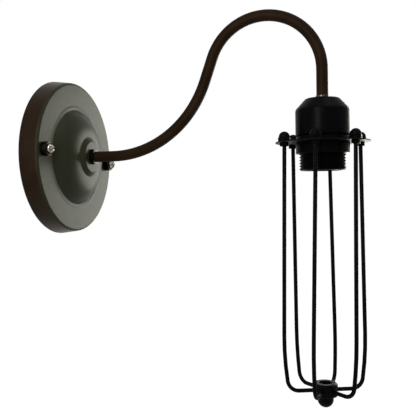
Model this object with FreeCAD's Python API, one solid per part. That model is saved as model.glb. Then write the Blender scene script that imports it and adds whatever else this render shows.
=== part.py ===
import FreeCAD, Part
import math
import os

# Cage wall light: a round wall plate with a pressed dome, a gooseneck tube, a threaded lampholder
# and a cage of six bent rods held under the lampholder by a shade ring.
# Millimetres. The origin is the centre of the wall plate's back. The wall is the plane Y = 0,
# the arm comes out along -Y and the lamp hangs along -Z.

V = FreeCAD.Vector

# ---- wall plate -------------------------------------------------------------------------------
sheet = 1.2                # pressed steel
plate_radius = 72.5        # at the wall
face_radius = 70.2         # the rim is draughted, so the face is smaller
plate_depth = 17.0         # wall to face
rim_round = 2.5
ridge_radius = 47.6        # thin raised ridge round the dome's foot
ridge_half_width = 1.4
ridge_height = 0.7
dome_foot_radius = 45.6
dome_rise = 12.5           # face to the dome's shoulder
dome_bulge = 20.0          # degrees, half the turn of the dome's arc
shoulder_radius = 18.6
boss_radius = 14.4         # flat top that the nut is tightened on
boss_rise = 3.5
boss_round = 1.0
plate_turn = 4.5           # degrees, the plate hangs turned a little about the arm

# ---- wall strap and the two side screws ---------------------------------------------------------
screw_pitch = 120.0        # between the two side screws
strap_width = 20.0
strap_thickness = 2.0
strap_lift = 6.0           # the ends are joggled off the wall for the screw threads
strap_flat = 96.0          # length that lies on the wall
strap_joggle = 7.0         # length of each slope
strap_bend = 2.0           # inside radius of the bends
strap_overhang = 6.7       # past the side screws
strap_end_round = 9.9      # a little under half the width, so the ends stay whole
wall_hole_pitch = 50.0
wall_hole_radius = 2.5
cable_hole_radius = 6.0
tongue_plate_width = 24.0  # upright tongue that the terminal block is screwed to
tongue_plate_top = 42.0
side_screw_radius = 2.0
collar_radius = 6.3
collar_length = 5.6
collar_chamfer = 0.5
screw_head_radius = 4.7
screw_head_side = 1.2
screw_head_height = 4.4
screw_slot_width = 1.2
screw_slot_depth = 1.7
side_screw_tail = 2.4      # how far the thread passes the strap's raised end
earth_screw_place = 41.0   # along the strap
earth_screw_radius = 2.0
earth_head_radius = 3.9
earth_head_height = 2.4
earth_slot = 1.0           # width and depth
lug_radius = 4.2
lug_thickness = 0.8
lug_neck = 6.5
lug_barrel = 4.0
lug_barrel_wall = 0.5

# ---- arm -----------------------------------------------------------------------------------------
reach = 250.0              # wall to lamp axis
crest_height = 117.6       # top of the tube's centre-line above the plate's centre
rise_angle = 70.35         # steepest slope of the rising stretch
foot_straight = 18.5       # straight run between the locknut and the lower bend
climb_straight = 21.8      # straight run between the lower bend and the gooseneck
tube_radius = 5.0
tube_wall = 1.0
tube_past_nut = 3.8        # threaded end behind the inner nut
nut_flats = 14.0
nut_height = 3.5
nut_bevel_slope = 0.6      # height of a nut's corner bevel over its width
washer_radius = 8.6
washer_thickness = 1.0

# ---- lampholder ----------------------------------------------------------------------------------
cap_radius = 23.05
cap_wall = 2.1
cap_foot = 10.6            # height of the cap's lower edge
cap_foot_round = 1.9
cap_shoulder = 33.3        # height where the slope starts
cap_shoulder_round = 4.0
cap_top = 42.8
cap_top_radius = 14.3
cap_top_round = 3.0
cap_boss_radius = 8.0
cap_boss_length = 9.0
cap_rib_radius = 17.2      # rib inside the cap that holds the insulator down
cap_rib_height = 1.6
neck_ring_radius = 5.7     # bright lock ring between tube and cap
neck_ring_height = 2.6
neck_ring_chamfer = 0.4
tube_in_cap = 7.0          # threaded end inside the cap's boss
skirt_mouth = -18.3        # height of the lampholder's open end
skirt_bore = 16.4
skirt_flange_radius = 22.6
thread_radius = 20.0       # 40 mm barrel thread for shade rings, at its crests
mouth_chamfer = 0.9
spigot_height = 4.4        # upstand of the skirt inside the cap
spigot_wall = 2.4
ledge_height = 10.0        # where the insulator rests
core_thickness = 6.0
core_spigot_radius = 14.6
core_spigot_bottom = 6.0
core_recess_radius = 8.8
core_recess_depth = 3.0
shell_radius = 13.8        # outside of the lamp thread's sleeve
shell_sheet = 0.4
shell_mouth = -15.0
shell_lip_inset = 0.2      # turned-in edge outside the recess
tongue_width = 4.6
tongue_sheet = 0.5
tongue_root = 5.2          # pivot line, beside the lamp axis
tongue_tip = 2.8           # past the lamp axis
tongue_flat = 3.92         # length of the flat at the tip
tongue_drop = 2.4
pad_length = 3.0
rivet_radius = 1.0
rivet_head = 0.5
terminal_place = 9.0
terminal_size = 6.0
terminal_screw_radius = 1.4
terminal_head_radius = 2.24
terminal_head_height = 1.4
small_slot_width = 0.6     # slots of the small screws
small_slot_depth = 0.6

# ---- shade ring ----------------------------------------------------------------------------------
ring_radius = 22.9
ring_height = 9.2
ring_chamfer = 0.6

# ---- cage ----------------------------------------------------------------------------------------
disc_top = 6.4             # height of the disc's upper face
disc_thickness = 1.0
disc_radius = 40.2
rod_count = 6
rod_radius = 1.75
rod_circle = 34.0          # at the disc
rod_circle_low = 35.5      # the rods open out a little
first_rod_angle = 57.1     # degrees about the lamp axis, from +X
cage_twist = -5.6          # degrees, from the disc down to the hub
rod_above_disc = 5.0
rod_square_length = 4.0    # straight thread under the disc
rod_kink_bend = 60.0
rod_level = -206.2         # height of the radial runs
rod_lean_in = 8.0          # degrees, where the gentle bend ends
rod_gentle_height = 28.2   # gentle bend's corner above the radial runs
rod_gentle_bend = 255.0
rod_tight_bend = 10.0
rod_in_hub = 3.9
top_nut_flats = 9.6
top_nut_side = 2.9         # the crown above it is part of a ball
under_nut_flats = 7.0
under_nut_height = 3.0
hub_radius = 10.5
hub_top = -200.0
hub_height = 11.0
hub_top_round = 2.0
hub_foot_chamfer = 0.8
hub_sink_radius = 5.4
hub_sink_slope = 0.8
hub_sink_depth = 5.5
hub_screw_radius = 2.5
hub_head_radius = 4.2
hub_head_height = 2.6
hub_nut_radius = 6.9
hub_nut_side = 3.4
hub_nut_chamfer = 0.8
hub_screw_in_nut = 7.0

# ---- wires ---------------------------------------------------------------------------------------
lead_radius = 3.0
lead_bend = 10.0
lead_in_tube = 1.0         # the lead's bend ends this far inside the tube
lead_end_height = 16.0     # the sheath's end behind the plate
lead_below_tube = 5.0      # the sheath's length past the tube inside the cap
core_radius = 1.1
core_spread = 1.6          # cores beside the sheath's centre
core_bend = 3.0
core_straight = 2.4        # straight stretch at each end of a core
earth_bend = 7.0
earth_drop = 8.0           # below the block before the earth core turns
earth_sidestep = 3.0       # sideways on its way down to the strap
earth_short = 1.0          # its end stays this far inside the lug's barrel
core_in_terminal = 3.0     # bared end inside a terminal
block_width = 34.0
block_depth = 11.5
block_height = 14.0
block_bottom = 26.0
block_pitch = 9.0
block_edge = 1.0
sleeve_radius = 2.4
sleeve_bore = 1.4
sleeve_inset = 0.5
block_screw_radius = 1.3
block_screw_bite = 0.2     # past the sleeve's bore
block_screw_sink = 1.5     # below the block's face
block_screw_pitch = 7.0
fixing_radius = 1.25       # screws that hold the block on the strap's tongue
fixing_head_radius = 1.7
fixing_head_height = 1.2

# ---- clearances ----------------------------------------------------------------------------------
thread_gap = 0.05          # nut on thread, screw in tapped hole
hole_gap = 0.2             # screw through a plain hole
disc_gap = 0.3             # cage disc over the barrel thread
running_gap = 0.08         # shade ring on the barrel thread
face_gap = 0.1             # between faces that part when the ring comes down
fit_gap = 0.1              # lampholder pieces in each other
hinge_gap = 0.2            # tongue beside its pad

# ---- derived places ------------------------------------------------------------------------------
boss_face = plate_depth + dome_rise + boss_rise
tube_bore = tube_radius - tube_wall
tube_start = boss_face - sheet - washer_thickness - nut_height - tube_past_nut
tube_end = cap_top - tube_in_cap
rise = math.radians(rise_angle)
foot_run = boss_face + nut_height + foot_straight
both_bends = (crest_height - climb_straight * math.sin(rise)) / (1 - math.cos(rise))
crest_bend = reach - foot_run - both_bends * math.sin(rise) - climb_straight * math.cos(rise)
foot_bend = both_bends - crest_bend
strap_front = strap_thickness
strap_end_face = strap_lift + strap_thickness
head_seat = plate_depth + collar_length
disc_bottom = disc_top - disc_thickness
ring_top = disc_bottom - face_gap
ring_bottom = ring_top - ring_height
flange_bottom = disc_top + face_gap
core_bottom = ledge_height
core_top = core_bottom + core_thickness
recess_roof = core_spigot_bottom + core_recess_depth
spigot_radius = cap_radius - cap_wall - fit_gap
hub_bottom = hub_top - hub_height
block_middle = strap_front + block_depth / 2.0
lead_depth = tube_start + lead_in_tube - lead_bend


# ---- helpers -------------------------------------------------------------------------------------
def rounded_path(points, radii):
    """Edges of a polyline whose inner corners are tangent arcs; a radius of 0 leaves a corner sharp."""
    edges = []
    start = points[0]
    for index in range(1, len(points) - 1):
        corner = points[index]
        radius = radii[index - 1]
        if radius == 0:
            edges.append(Part.LineSegment(start, corner).toShape())
            start = corner
            continue
        to_back = (points[index - 1] - corner).normalize()
        to_front = (points[index + 1] - corner).normalize()
        half = to_back.getAngle(to_front) / 2.0
        touch = radius / math.tan(half)
        first = corner + to_back * touch
        last = corner + to_front * touch
        bisector = (to_back + to_front).normalize()
        middle = corner + bisector * (radius / math.sin(half) - radius)
        if first.distanceToPoint(start) > 1e-6:
            edges.append(Part.LineSegment(start, first).toShape())
        edges.append(Part.Arc(first, middle, last).toShape())
        start = last
    edges.append(Part.LineSegment(start, points[-1]).toShape())
    return edges


def closed_profile(points, radii):
    """Wire round a closed outline; radii has one value per point, the first point stays sharp."""
    edges = rounded_path(points + [points[0]], radii[1:])
    return Part.Wire(edges)


def turned_about_z(points, radii):
    """Solid of revolution about Z from (radius, height) points."""
    corners = [V(radius, 0, height) for radius, height in points]
    face = Part.Face(closed_profile(corners, radii))
    return face.revolve(V(0, 0, 0), V(0, 0, 1), 360)


def sheet_section(edges, thickness, towards):
    """Face one sheet thick along an open outline, on the side of the outline that faces a point."""
    outline = Part.Wire(edges)
    faces = [outline.makeOffset2D(step, fill=True, openResult=True) for step in (thickness, -thickness)]
    return min(faces, key=lambda face: face.CenterOfMass.distanceToPoint(towards))


def sharp(points):
    return [0] * len(points)


def cylinder(radius, height, base, direction):
    return Part.makeCylinder(radius, height, base, direction)


def hexagon(across_flats, height, angle=0.0):
    """Hexagonal prism on the XY plane, a corner at the given angle from +X."""
    corner = across_flats / math.sqrt(3)
    points = []
    for step in range(7):
        turn = math.radians(angle + 60 * step)
        points.append(V(corner * math.cos(turn), corner * math.sin(turn), 0))
    return Part.Face(Part.makePolygon(points)).extrude(V(0, 0, height))


def hex_nut(across_flats, height, bore):
    """Nut standing on the XY plane, its corners bevelled at both ends."""
    corner = across_flats / math.sqrt(3)
    bevel = (corner - across_flats / 2.0) * nut_bevel_slope
    outline = [(0, 0), (across_flats / 2.0, 0), (corner, bevel), (corner, height - bevel),
               (across_flats / 2.0, height), (0, height)]
    nut = hexagon(across_flats, height).common(turned_about_z(outline, sharp(outline)))
    return nut.cut(cylinder(bore, height, V(0, 0, 0), V(0, 0, 1)))


def tube_along(edges, radius):
    """Round bar along a path of lines and tangent arcs; its volume is compared with section x length."""
    path = Part.Wire(edges)
    start = path.OrderedVertexes[0].Point
    direction = path.OrderedEdges[0].tangentAt(path.OrderedEdges[0].FirstParameter)
    if path.OrderedEdges[0].Orientation == "Reversed":
        direction = direction * -1
    circle = Part.Wire([Part.Circle(start, direction, radius).toShape()])
    bar = path.makePipeShell([circle], True, True)
    expected = math.pi * radius ** 2 * path.Length
    if abs(bar.Volume - expected) > 0.01 * expected:
        print("volume differs from section x length:", round(bar.Volume, 1), round(expected, 1))
    return bar


def outward(shape, depth):
    """A piece built standing on the XY plane is laid against the wall side plane Y = -depth."""
    placed = shape.copy()
    placed.rotate(V(0, 0, 0), V(1, 0, 0), 90)
    placed.translate(V(0, -depth, 0))
    return placed


def hung(shape):
    """Turns a piece of the wall plate set about the arm, as it hangs."""
    placed = shape.copy()
    placed.rotate(V(0, 0, 0), V(0, 1, 0), plate_turn)
    return placed


def on_lamp_axis(shape):
    placed = shape.copy()
    placed.translate(V(0, -reach, 0))
    return placed


def slotted_head(radius, side, height, slot_width, slot_depth):
    """Round screw head standing on the XY plane, domed, with a screwdriver slot."""
    outline = [V(0, 0, 0), V(radius, 0, 0), V(radius, 0, side)]
    edges = [Part.LineSegment(outline[0], outline[1]).toShape(),
             Part.LineSegment(outline[1], outline[2]).toShape()]
    rise = height - side
    sphere = (radius ** 2 + rise ** 2) / (2 * rise)
    middle = math.asin(radius / sphere) / 2.0
    halfway = V(sphere * math.sin(middle), 0, height - sphere * (1 - math.cos(middle)))
    edges.append(Part.Arc(outline[2], halfway, V(0, 0, height)).toShape())
    edges.append(Part.LineSegment(V(0, 0, height), outline[0]).toShape())
    head = Part.Face(Part.Wire(edges)).revolve(V(0, 0, 0), V(0, 0, 1), 360)
    slot = Part.makeBox(4 * radius, slot_width, slot_depth,
                        V(-2 * radius, -slot_width / 2.0, height - slot_depth))
    return head.cut(slot)


def lamp_angle(index):
    return math.radians(first_rod_angle + 360.0 / rod_count * index)


# ---- wall plate set ------------------------------------------------------------------------------
def backplate():
    """Pressed pan: draughted rim, flat annulus, thin ridge, dome, raised flat boss; one sheet thick."""
    rim = rounded_path([V(plate_radius, 0, 0), V(face_radius, -plate_depth, 0),
                        V(ridge_radius + ridge_half_width, -plate_depth, 0)], [rim_round])
    ridge = Part.Arc(V(ridge_radius + ridge_half_width, -plate_depth, 0),
                     V(ridge_radius, -plate_depth - ridge_height, 0),
                     V(ridge_radius - ridge_half_width, -plate_depth, 0)).toShape()
    foot = V(dome_foot_radius, -plate_depth, 0)
    shoulder = V(shoulder_radius, -plate_depth - dome_rise, 0)
    ledge = Part.LineSegment(V(ridge_radius - ridge_half_width, -plate_depth, 0), foot).toShape()
    chord = foot - shoulder
    sagitta = chord.Length / 2.0 * math.tan(math.radians(dome_bulge) / 2.0)
    bulge = V(-chord.y, chord.x, 0).normalize() * -sagitta
    dome = Part.Arc(foot, (foot + shoulder) * 0.5 + bulge, shoulder).toShape()
    boss = rounded_path([shoulder, V(boss_radius, -boss_face, 0), V(tube_radius + hole_gap, -boss_face, 0)],
                        [boss_round])
    section = sheet_section(rim + [ridge, ledge, dome] + boss, sheet, V(0, 0, 0))
    pan = section.revolve(V(0, 0, 0), V(0, 1, 0), 360)
    pan = pan.common(cylinder(2 * plate_radius, 2 * boss_face, V(0, 0, 0), V(0, -1, 0)))
    for side in (-1, 1):
        place = V(side * screw_pitch / 2.0, 0, 0)
        pan = pan.cut(cylinder(side_screw_radius + hole_gap, 2 * plate_depth, place, V(0, -1, 0)))
    return hung(pan)


def wall_strap():
    """Flat bar on the wall with joggled ends that take the side screws."""
    low = strap_flat / 2.0
    high = low + strap_joggle
    end = screw_pitch / 2.0 + strap_overhang
    raised = -strap_lift - strap_thickness
    profile = [V(-end, raised, 0), V(-high, raised, 0), V(-low, -strap_thickness, 0),
               V(low, -strap_thickness, 0), V(high, raised, 0), V(end, raised, 0)]
    bend = strap_bend + strap_thickness
    front = rounded_path(profile, [bend, strap_bend, strap_bend, bend])
    section = sheet_section(front, strap_thickness, V(0, strap_width, 0))
    bar = section.extrude(V(0, 0, strap_width))
    bar.translate(V(0, 0, -strap_width / 2.0))
    trim = Part.makeBox(2 * end, 4 * strap_lift, strap_width, V(-end, -3 * strap_lift, -strap_width / 2.0))
    upright = [edge for edge in trim.Edges if abs(edge.tangentAt(edge.FirstParameter).y) > 0.99]
    bar = bar.common(trim.makeFillet(strap_end_round, upright))
    tongue = Part.makeBox(tongue_plate_width, strap_thickness, tongue_plate_top,
                          V(-tongue_plate_width / 2.0, -strap_thickness, 0))
    bar = bar.fuse(tongue).removeSplitter()
    for place in fixing_places():
        bar = bar.cut(cylinder(fixing_radius + thread_gap, strap_thickness,
                               V(place, 0, block_bottom + block_height / 2.0), V(0, -1, 0)))
    holes = [(0, cable_hole_radius),
             (-wall_hole_pitch / 2.0, wall_hole_radius), (wall_hole_pitch / 2.0, wall_hole_radius),
             (-screw_pitch / 2.0, side_screw_radius + thread_gap),
             (screw_pitch / 2.0, side_screw_radius + thread_gap),
             (earth_screw_place, earth_screw_radius + thread_gap)]
    for place, radius in holes:
        bar = bar.cut(cylinder(radius, 2 * strap_end_face, V(place, strap_lift, 0), V(0, -1, 0)))
    return hung(bar)


def screw_collars():
    """The two black barrels between the plate's face and the screw heads."""
    bore = side_screw_radius + hole_gap
    outline = [(bore, 0), (collar_radius, 0), (collar_radius, collar_length - collar_chamfer),
               (collar_radius - collar_chamfer, collar_length), (bore, collar_length)]
    barrel = outward(turned_about_z(outline, sharp(outline)), plate_depth)
    pair = []
    for side in (-1, 1):
        one = barrel.copy()
        one.translate(V(side * screw_pitch / 2.0, 0, 0))
        pair.append(hung(one))
    return Part.makeCompound(pair)


def side_screws():
    """Brass round-head screws through collar and plate into the strap's raised ends."""
    head = slotted_head(screw_head_radius, screw_head_side, screw_head_height,
                        screw_slot_width, screw_slot_depth)
    shank = head_seat - strap_lift + side_screw_tail
    screw = head.fuse(cylinder(side_screw_radius, shank, V(0, 0, -shank), V(0, 0, 1)))
    pair = []
    for side in (-1, 1):
        one = outward(screw.removeSplitter(), head_seat)
        one.translate(V(side * screw_pitch / 2.0, 0, 0))
        pair.append(hung(one))
    return Part.makeCompound(pair)


def earth_lug():
    """Ring tag under the earth screw, with the short barrel that grips the earth core."""
    axis_height = lug_thickness + core_radius + thread_gap
    mouth = V(-lug_neck - lug_barrel, 0, axis_height)
    along = V(1, 0, 0)
    tag = cylinder(lug_radius, lug_thickness, V(0, 0, 0), V(0, 0, 1))
    neck = Part.makeBox(lug_neck + lug_barrel, 2 * core_radius, lug_thickness,
                        V(-lug_neck - lug_barrel, -core_radius, 0))
    barrel = cylinder(core_radius + lug_barrel_wall, lug_barrel, mouth, along)
    barrel = barrel.common(Part.makeBox(lug_barrel, 4 * core_radius, 4 * core_radius,
                                        V(-lug_neck - lug_barrel, -2 * core_radius, 0)))
    tag = tag.fuse([neck, barrel])
    tag = tag.cut(cylinder(core_radius + thread_gap, lug_barrel, mouth, along))
    tag = tag.cut(cylinder(earth_screw_radius + hole_gap, lug_thickness, V(0, 0, 0), V(0, 0, 1)))
    placed = outward(tag.removeSplitter(), strap_front)
    placed.translate(V(earth_screw_place, 0, 0))
    return hung(placed)


def earth_screw():
    head = slotted_head(earth_head_radius, earth_head_height / 2.0, earth_head_height,
                        earth_slot, earth_slot)
    shank = lug_thickness + strap_thickness
    screw = head.fuse(cylinder(earth_screw_radius, shank, V(0, 0, -shank), V(0, 0, 1)))
    placed = outward(screw.removeSplitter(), strap_front + lug_thickness)
    placed.translate(V(earth_screw_place, 0, 0))
    return hung(placed)


# ---- arm and its nuts ----------------------------------------------------------------------------
def arm_edges(start_depth, end_height):
    """Centre-line in the X = 0 plane: out along -Y, up the lower bend, over the gooseneck and down."""
    def foot(turn):
        return V(0, -foot_run - foot_bend * math.sin(turn), foot_bend * (1 - math.cos(turn)))

    crest_centre = V(0, -reach + crest_bend, crest_height - crest_bend)

    def crest(turn):
        return crest_centre + V(0, crest_bend * math.sin(turn), crest_bend * math.cos(turn))

    down = -math.pi / 2
    return [Part.LineSegment(V(0, -start_depth, 0), foot(0)).toShape(),
            Part.Arc(foot(0), foot(rise / 2), foot(rise)).toShape(),
            Part.LineSegment(foot(rise), crest(rise)).toShape(),
            Part.Arc(crest(rise), crest((rise + down) / 2), crest(down)).toShape(),
            Part.LineSegment(crest(down), V(0, -reach, end_height)).toShape()]


def arm_tube():
    edges = arm_edges(tube_start, tube_end)
    outside = tube_along(edges, tube_radius)
    inside = tube_along(edges, tube_bore)
    return outside.cut(inside)


def outer_locknut():
    return outward(hex_nut(nut_flats, nut_height, tube_radius + thread_gap), boss_face)


def inner_washer():
    ring = cylinder(washer_radius, washer_thickness, V(0, 0, 0), V(0, 0, 1))
    ring = ring.cut(cylinder(tube_radius + hole_gap, washer_thickness, V(0, 0, 0), V(0, 0, 1)))
    return outward(ring, boss_face - sheet - washer_thickness)


def inner_locknut():
    nut = hex_nut(nut_flats, nut_height, tube_radius + thread_gap)
    return outward(nut, boss_face - sheet - washer_thickness - nut_height)


# ---- lampholder ----------------------------------------------------------------------------------
def holder_cap():
    """Hollow cap: flat top, 45 degree shoulder, straight side, rounded foot, threaded boss inside."""
    inner = cap_radius - cap_wall
    roof = cap_top - cap_wall
    bore = tube_radius + thread_gap
    slope_in = cap_wall * math.tan(math.radians(22.5))
    rib_top = core_top + cap_rib_height
    boss_end = cap_top - cap_boss_length
    points = [(bore, cap_top), (cap_top_radius, cap_top), (cap_radius, cap_shoulder), (cap_radius, cap_foot),
              (inner, cap_foot), (inner, core_top), (cap_rib_radius, core_top), (cap_rib_radius, rib_top),
              (inner, rib_top + cap_rib_height), (inner, cap_shoulder - slope_in),
              (cap_top_radius - slope_in, roof), (cap_boss_radius, roof), (cap_boss_radius, boss_end),
              (bore, boss_end)]
    radii = [0, cap_top_round, cap_shoulder_round, cap_foot_round] + [0] * 10
    return on_lamp_axis(turned_about_z(points, radii))


def holder_skirt():
    """Skirt: open mouth, barrel at its thread's full size, flange above the cage, spigot, ledge."""
    spigot_top = cap_foot + spigot_height
    inner = spigot_radius - spigot_wall
    points = [(skirt_bore, skirt_mouth), (thread_radius - mouth_chamfer, skirt_mouth),
              (thread_radius, skirt_mouth + mouth_chamfer), (thread_radius, flange_bottom),
              (skirt_flange_radius, flange_bottom), (skirt_flange_radius, cap_foot),
              (spigot_radius, cap_foot), (spigot_radius, spigot_top), (inner, spigot_top),
              (inner, ledge_height), (skirt_bore, ledge_height)]
    return on_lamp_axis(turned_about_z(points, sharp(points)))


def holder_core():
    """Insulator that carries the contacts: a disc on the skirt's ledge with a recessed spigot below."""
    rim = spigot_radius - spigot_wall - fit_gap
    points = [(0, recess_roof), (core_recess_radius, recess_roof), (core_recess_radius, core_spigot_bottom),
              (core_spigot_radius, core_spigot_bottom), (core_spigot_radius, core_bottom), (rim, core_bottom),
              (rim, core_top), (0, core_top)]
    core = turned_about_z(points, sharp(points))
    for place in rivet_places():
        core = core.cut(cylinder(rivet_radius + thread_gap, core_top, V(place, 0, 0), V(0, 0, 1)))
    return on_lamp_axis(core)


def rivet_places():
    """Distance of each rivet from the lamp axis: the contact pad's and the sleeve's."""
    lip_inside = core_recess_radius + shell_lip_inset
    lip_outside = shell_radius - shell_sheet
    return [tongue_root + hinge_gap + pad_length / 2.0, -(lip_inside + lip_outside) / 2.0]


def screw_shell():
    """Lamp thread sleeve: thin brass at its thread's full size, top edge turned in under the insulator."""
    points = [V(shell_radius, 0, shell_mouth), V(shell_radius, 0, core_spigot_bottom),
              V(core_recess_radius + shell_lip_inset, 0, core_spigot_bottom)]
    section = sheet_section(rounded_path(points, [0]), shell_sheet, V(0, 0, shell_mouth))
    shell = section.revolve(V(0, 0, 0), V(0, 0, 1), 360)
    place = V(rivet_places()[1], 0, core_spigot_bottom)
    hole = cylinder(rivet_radius + thread_gap, 2 * shell_sheet, place, V(0, 0, -1))
    return on_lamp_axis(shell.cut(hole))


def contact_rivets():
    """Two rivets: one through the centre contact's pad, one through the sleeve's turned-in edge."""
    pad_place, shell_place = rivet_places()
    seats = [(pad_place, recess_roof - tongue_sheet), (shell_place, core_spigot_bottom - shell_sheet)]
    rivets = []
    for place, seat in seats:
        shank = cylinder(rivet_radius, core_top - seat, V(place, 0, seat), V(0, 0, 1))
        head = cylinder(rivet_radius + rivet_head, rivet_head, V(place, 0, seat - rivet_head), V(0, 0, 1))
        rivets.append(on_lamp_axis(shank.fuse(head).removeSplitter()))
    return Part.makeCompound(rivets)


def contact_pad():
    start = tongue_root + hinge_gap
    pad = Part.makeBox(pad_length, tongue_width, tongue_sheet,
                       V(start, -tongue_width / 2.0, recess_roof - tongue_sheet))
    pad = pad.cut(cylinder(rivet_radius + thread_gap, core_top, V(rivet_places()[0], 0, 0), V(0, 0, 1)))
    return on_lamp_axis(pad)


def centre_contact():
    """Springy tongue from the pad down across the lamp axis; its tip carries the contact's flat."""
    top = recess_roof - face_gap
    low = top - tongue_drop
    knee = tongue_flat - tongue_tip
    upper = [V(tongue_root, 0, top), V(knee, 0, low), V(-tongue_tip, 0, low)]
    lower = [point - V(0, 0, tongue_sheet) for point in reversed(upper)]
    face = Part.Face(Part.makePolygon(upper + lower + [upper[0]]))
    tongue = face.extrude(V(0, tongue_width, 0))
    tongue.translate(V(0, -tongue_width / 2.0, 0))
    return on_lamp_axis(tongue)


def holder_terminals():
    """Two brass terminal blocks on top of the insulator, each with a wire hole and a tapped hole."""
    pair = []
    for side in (-1, 1):
        centre = side * terminal_place
        block = Part.makeBox(terminal_size, terminal_size, terminal_size,
                             V(centre - terminal_size / 2.0, -terminal_size / 2.0, core_top))
        entry = cylinder(core_radius + thread_gap, terminal_size, V(centre, 0, core_top), V(0, 0, 1))
        tapped = cylinder(terminal_screw_radius + thread_gap, terminal_size,
                          V(centre, -terminal_size, core_top + terminal_size / 2.0), V(0, 1, 0))
        pair.append(on_lamp_axis(block.cut([entry, tapped])))
    return Part.makeCompound(pair)


def holder_terminal_screws():
    pair = []
    for side in (-1, 1):
        head = slotted_head(terminal_head_radius, terminal_head_height / 2.0, terminal_head_height,
                            small_slot_width, small_slot_depth)
        length = terminal_size / 2.0 - core_radius
        shank = cylinder(terminal_screw_radius, length, V(0, 0, -length), V(0, 0, 1))
        screw = head.fuse(shank).removeSplitter()
        screw.rotate(V(0, 0, 0), V(1, 0, 0), 90)
        screw.translate(V(side * terminal_place, -terminal_size / 2.0, core_top + terminal_size / 2.0))
        pair.append(on_lamp_axis(screw))
    return Part.makeCompound(pair)


def neck_ring():
    """Bright lock ring between the tube's painted end and the cap."""
    bore = tube_radius + thread_gap
    shoulder = neck_ring_radius - neck_ring_chamfer
    points = [(bore, 0), (shoulder, 0), (neck_ring_radius, neck_ring_chamfer),
              (neck_ring_radius, neck_ring_height - neck_ring_chamfer), (shoulder, neck_ring_height),
              (bore, neck_ring_height)]
    ring = turned_about_z(points, sharp(points))
    ring.translate(V(0, 0, cap_top))
    return on_lamp_axis(ring)


def shade_ring():
    """Ring on the barrel thread that clamps the cage's disc against the flange."""
    bore = thread_radius + running_gap
    points = [(bore, ring_bottom), (ring_radius - ring_chamfer, ring_bottom),
              (ring_radius, ring_bottom + ring_chamfer), (ring_radius, ring_top), (bore, ring_top)]
    return on_lamp_axis(turned_about_z(points, sharp(points)))


# ---- cage ----------------------------------------------------------------------------------------
def cage_disc():
    disc = cylinder(disc_radius, disc_thickness, V(0, 0, disc_bottom), V(0, 0, 1))
    disc = disc.cut(cylinder(thread_radius + disc_gap, disc_thickness, V(0, 0, disc_bottom), V(0, 0, 1)))
    for index in range(rod_count):
        turn = lamp_angle(index)
        place = V(rod_circle * math.cos(turn), rod_circle * math.sin(turn), disc_bottom)
        disc = disc.cut(cylinder(rod_radius + thread_gap, disc_thickness, place, V(0, 0, 1)))
    return on_lamp_axis(disc)


def cage_rod(index):
    """One bent rod: upright in the disc, leaning with the twist, gently bent, tightly bent, into the hub."""
    turn_top = lamp_angle(index)
    turn_low = turn_top + math.radians(cage_twist)

    def at(radius, turn, height):
        return V(radius * math.cos(turn), radius * math.sin(turn), height)

    lean = rod_gentle_height * math.tan(math.radians(rod_lean_in))
    points = [at(rod_circle, turn_top, disc_top + rod_above_disc),
              at(rod_circle, turn_top, disc_bottom - rod_square_length),
              at(rod_circle_low, turn_low, rod_level + rod_gentle_height),
              at(rod_circle_low - lean, turn_low, rod_level),
              at(hub_radius - rod_in_hub, turn_low, rod_level)]
    edges = rounded_path(points, [rod_kink_bend, rod_gentle_bend, rod_tight_bend])
    return on_lamp_axis(tube_along(edges, rod_radius))


def around_disc(piece):
    """One copy of a piece on each rod's place."""
    copies = []
    for index in range(rod_count):
        turn = lamp_angle(index)
        one = piece.copy()
        one.rotate(V(0, 0, 0), V(0, 0, 1), math.degrees(turn))
        one.translate(V(rod_circle * math.cos(turn), rod_circle * math.sin(turn), 0))
        copies.append(on_lamp_axis(one))
    return Part.makeCompound(copies)


def cage_top_nuts():
    """Six domed cap nuts on the rods' ends above the disc."""
    corner = top_nut_flats / math.sqrt(3)
    barrel = cylinder(corner, top_nut_side, V(0, 0, 0), V(0, 0, 1))
    crown = Part.makeSphere(corner, V(0, 0, top_nut_side)).fuse(barrel).removeSplitter()
    nut = hexagon(top_nut_flats, top_nut_side + corner).common(crown)
    nut = nut.cut(cylinder(rod_radius + thread_gap, rod_above_disc + face_gap, V(0, 0, 0), V(0, 0, 1)))
    nut.translate(V(0, 0, disc_top))
    return around_disc(nut)


def cage_under_nuts():
    """Six small nuts that clamp the disc from below."""
    nut = hex_nut(under_nut_flats, under_nut_height, rod_radius + thread_gap)
    nut.translate(V(0, 0, disc_bottom - under_nut_height))
    return around_disc(nut)


def cage_hub():
    """Turned hub: sunk top for the screw's head, six radial holes for the rods."""
    floor = hub_top - hub_sink_depth
    screw_bore = hub_screw_radius + thread_gap
    sink = hub_sink_radius - hub_sink_slope
    points = [(screw_bore, floor), (sink, floor), (hub_sink_radius, hub_top), (hub_radius, hub_top),
              (hub_radius, hub_bottom + hub_foot_chamfer), (hub_radius - hub_foot_chamfer, hub_bottom),
              (screw_bore, hub_bottom)]
    hub = turned_about_z(points, [0, 0, 0, hub_top_round, 0, 0, 0])
    for index in range(rod_count):
        turn = lamp_angle(index) + math.radians(cage_twist)
        direction = V(math.cos(turn), math.sin(turn), 0)
        start = direction * (hub_radius - rod_in_hub - face_gap) + V(0, 0, rod_level)
        hub = hub.cut(cylinder(rod_radius + thread_gap, hub_radius, start, direction))
    return on_lamp_axis(hub)


def hub_screw():
    head = slotted_head(hub_head_radius, hub_head_height / 2.0, hub_head_height,
                        screw_slot_width, screw_slot_width)
    length = hub_height - hub_sink_depth + hub_screw_in_nut
    screw = head.fuse(cylinder(hub_screw_radius, length, V(0, 0, -length), V(0, 0, 1))).removeSplitter()
    screw.translate(V(0, 0, hub_top - hub_sink_depth))
    return on_lamp_axis(screw)


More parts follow.
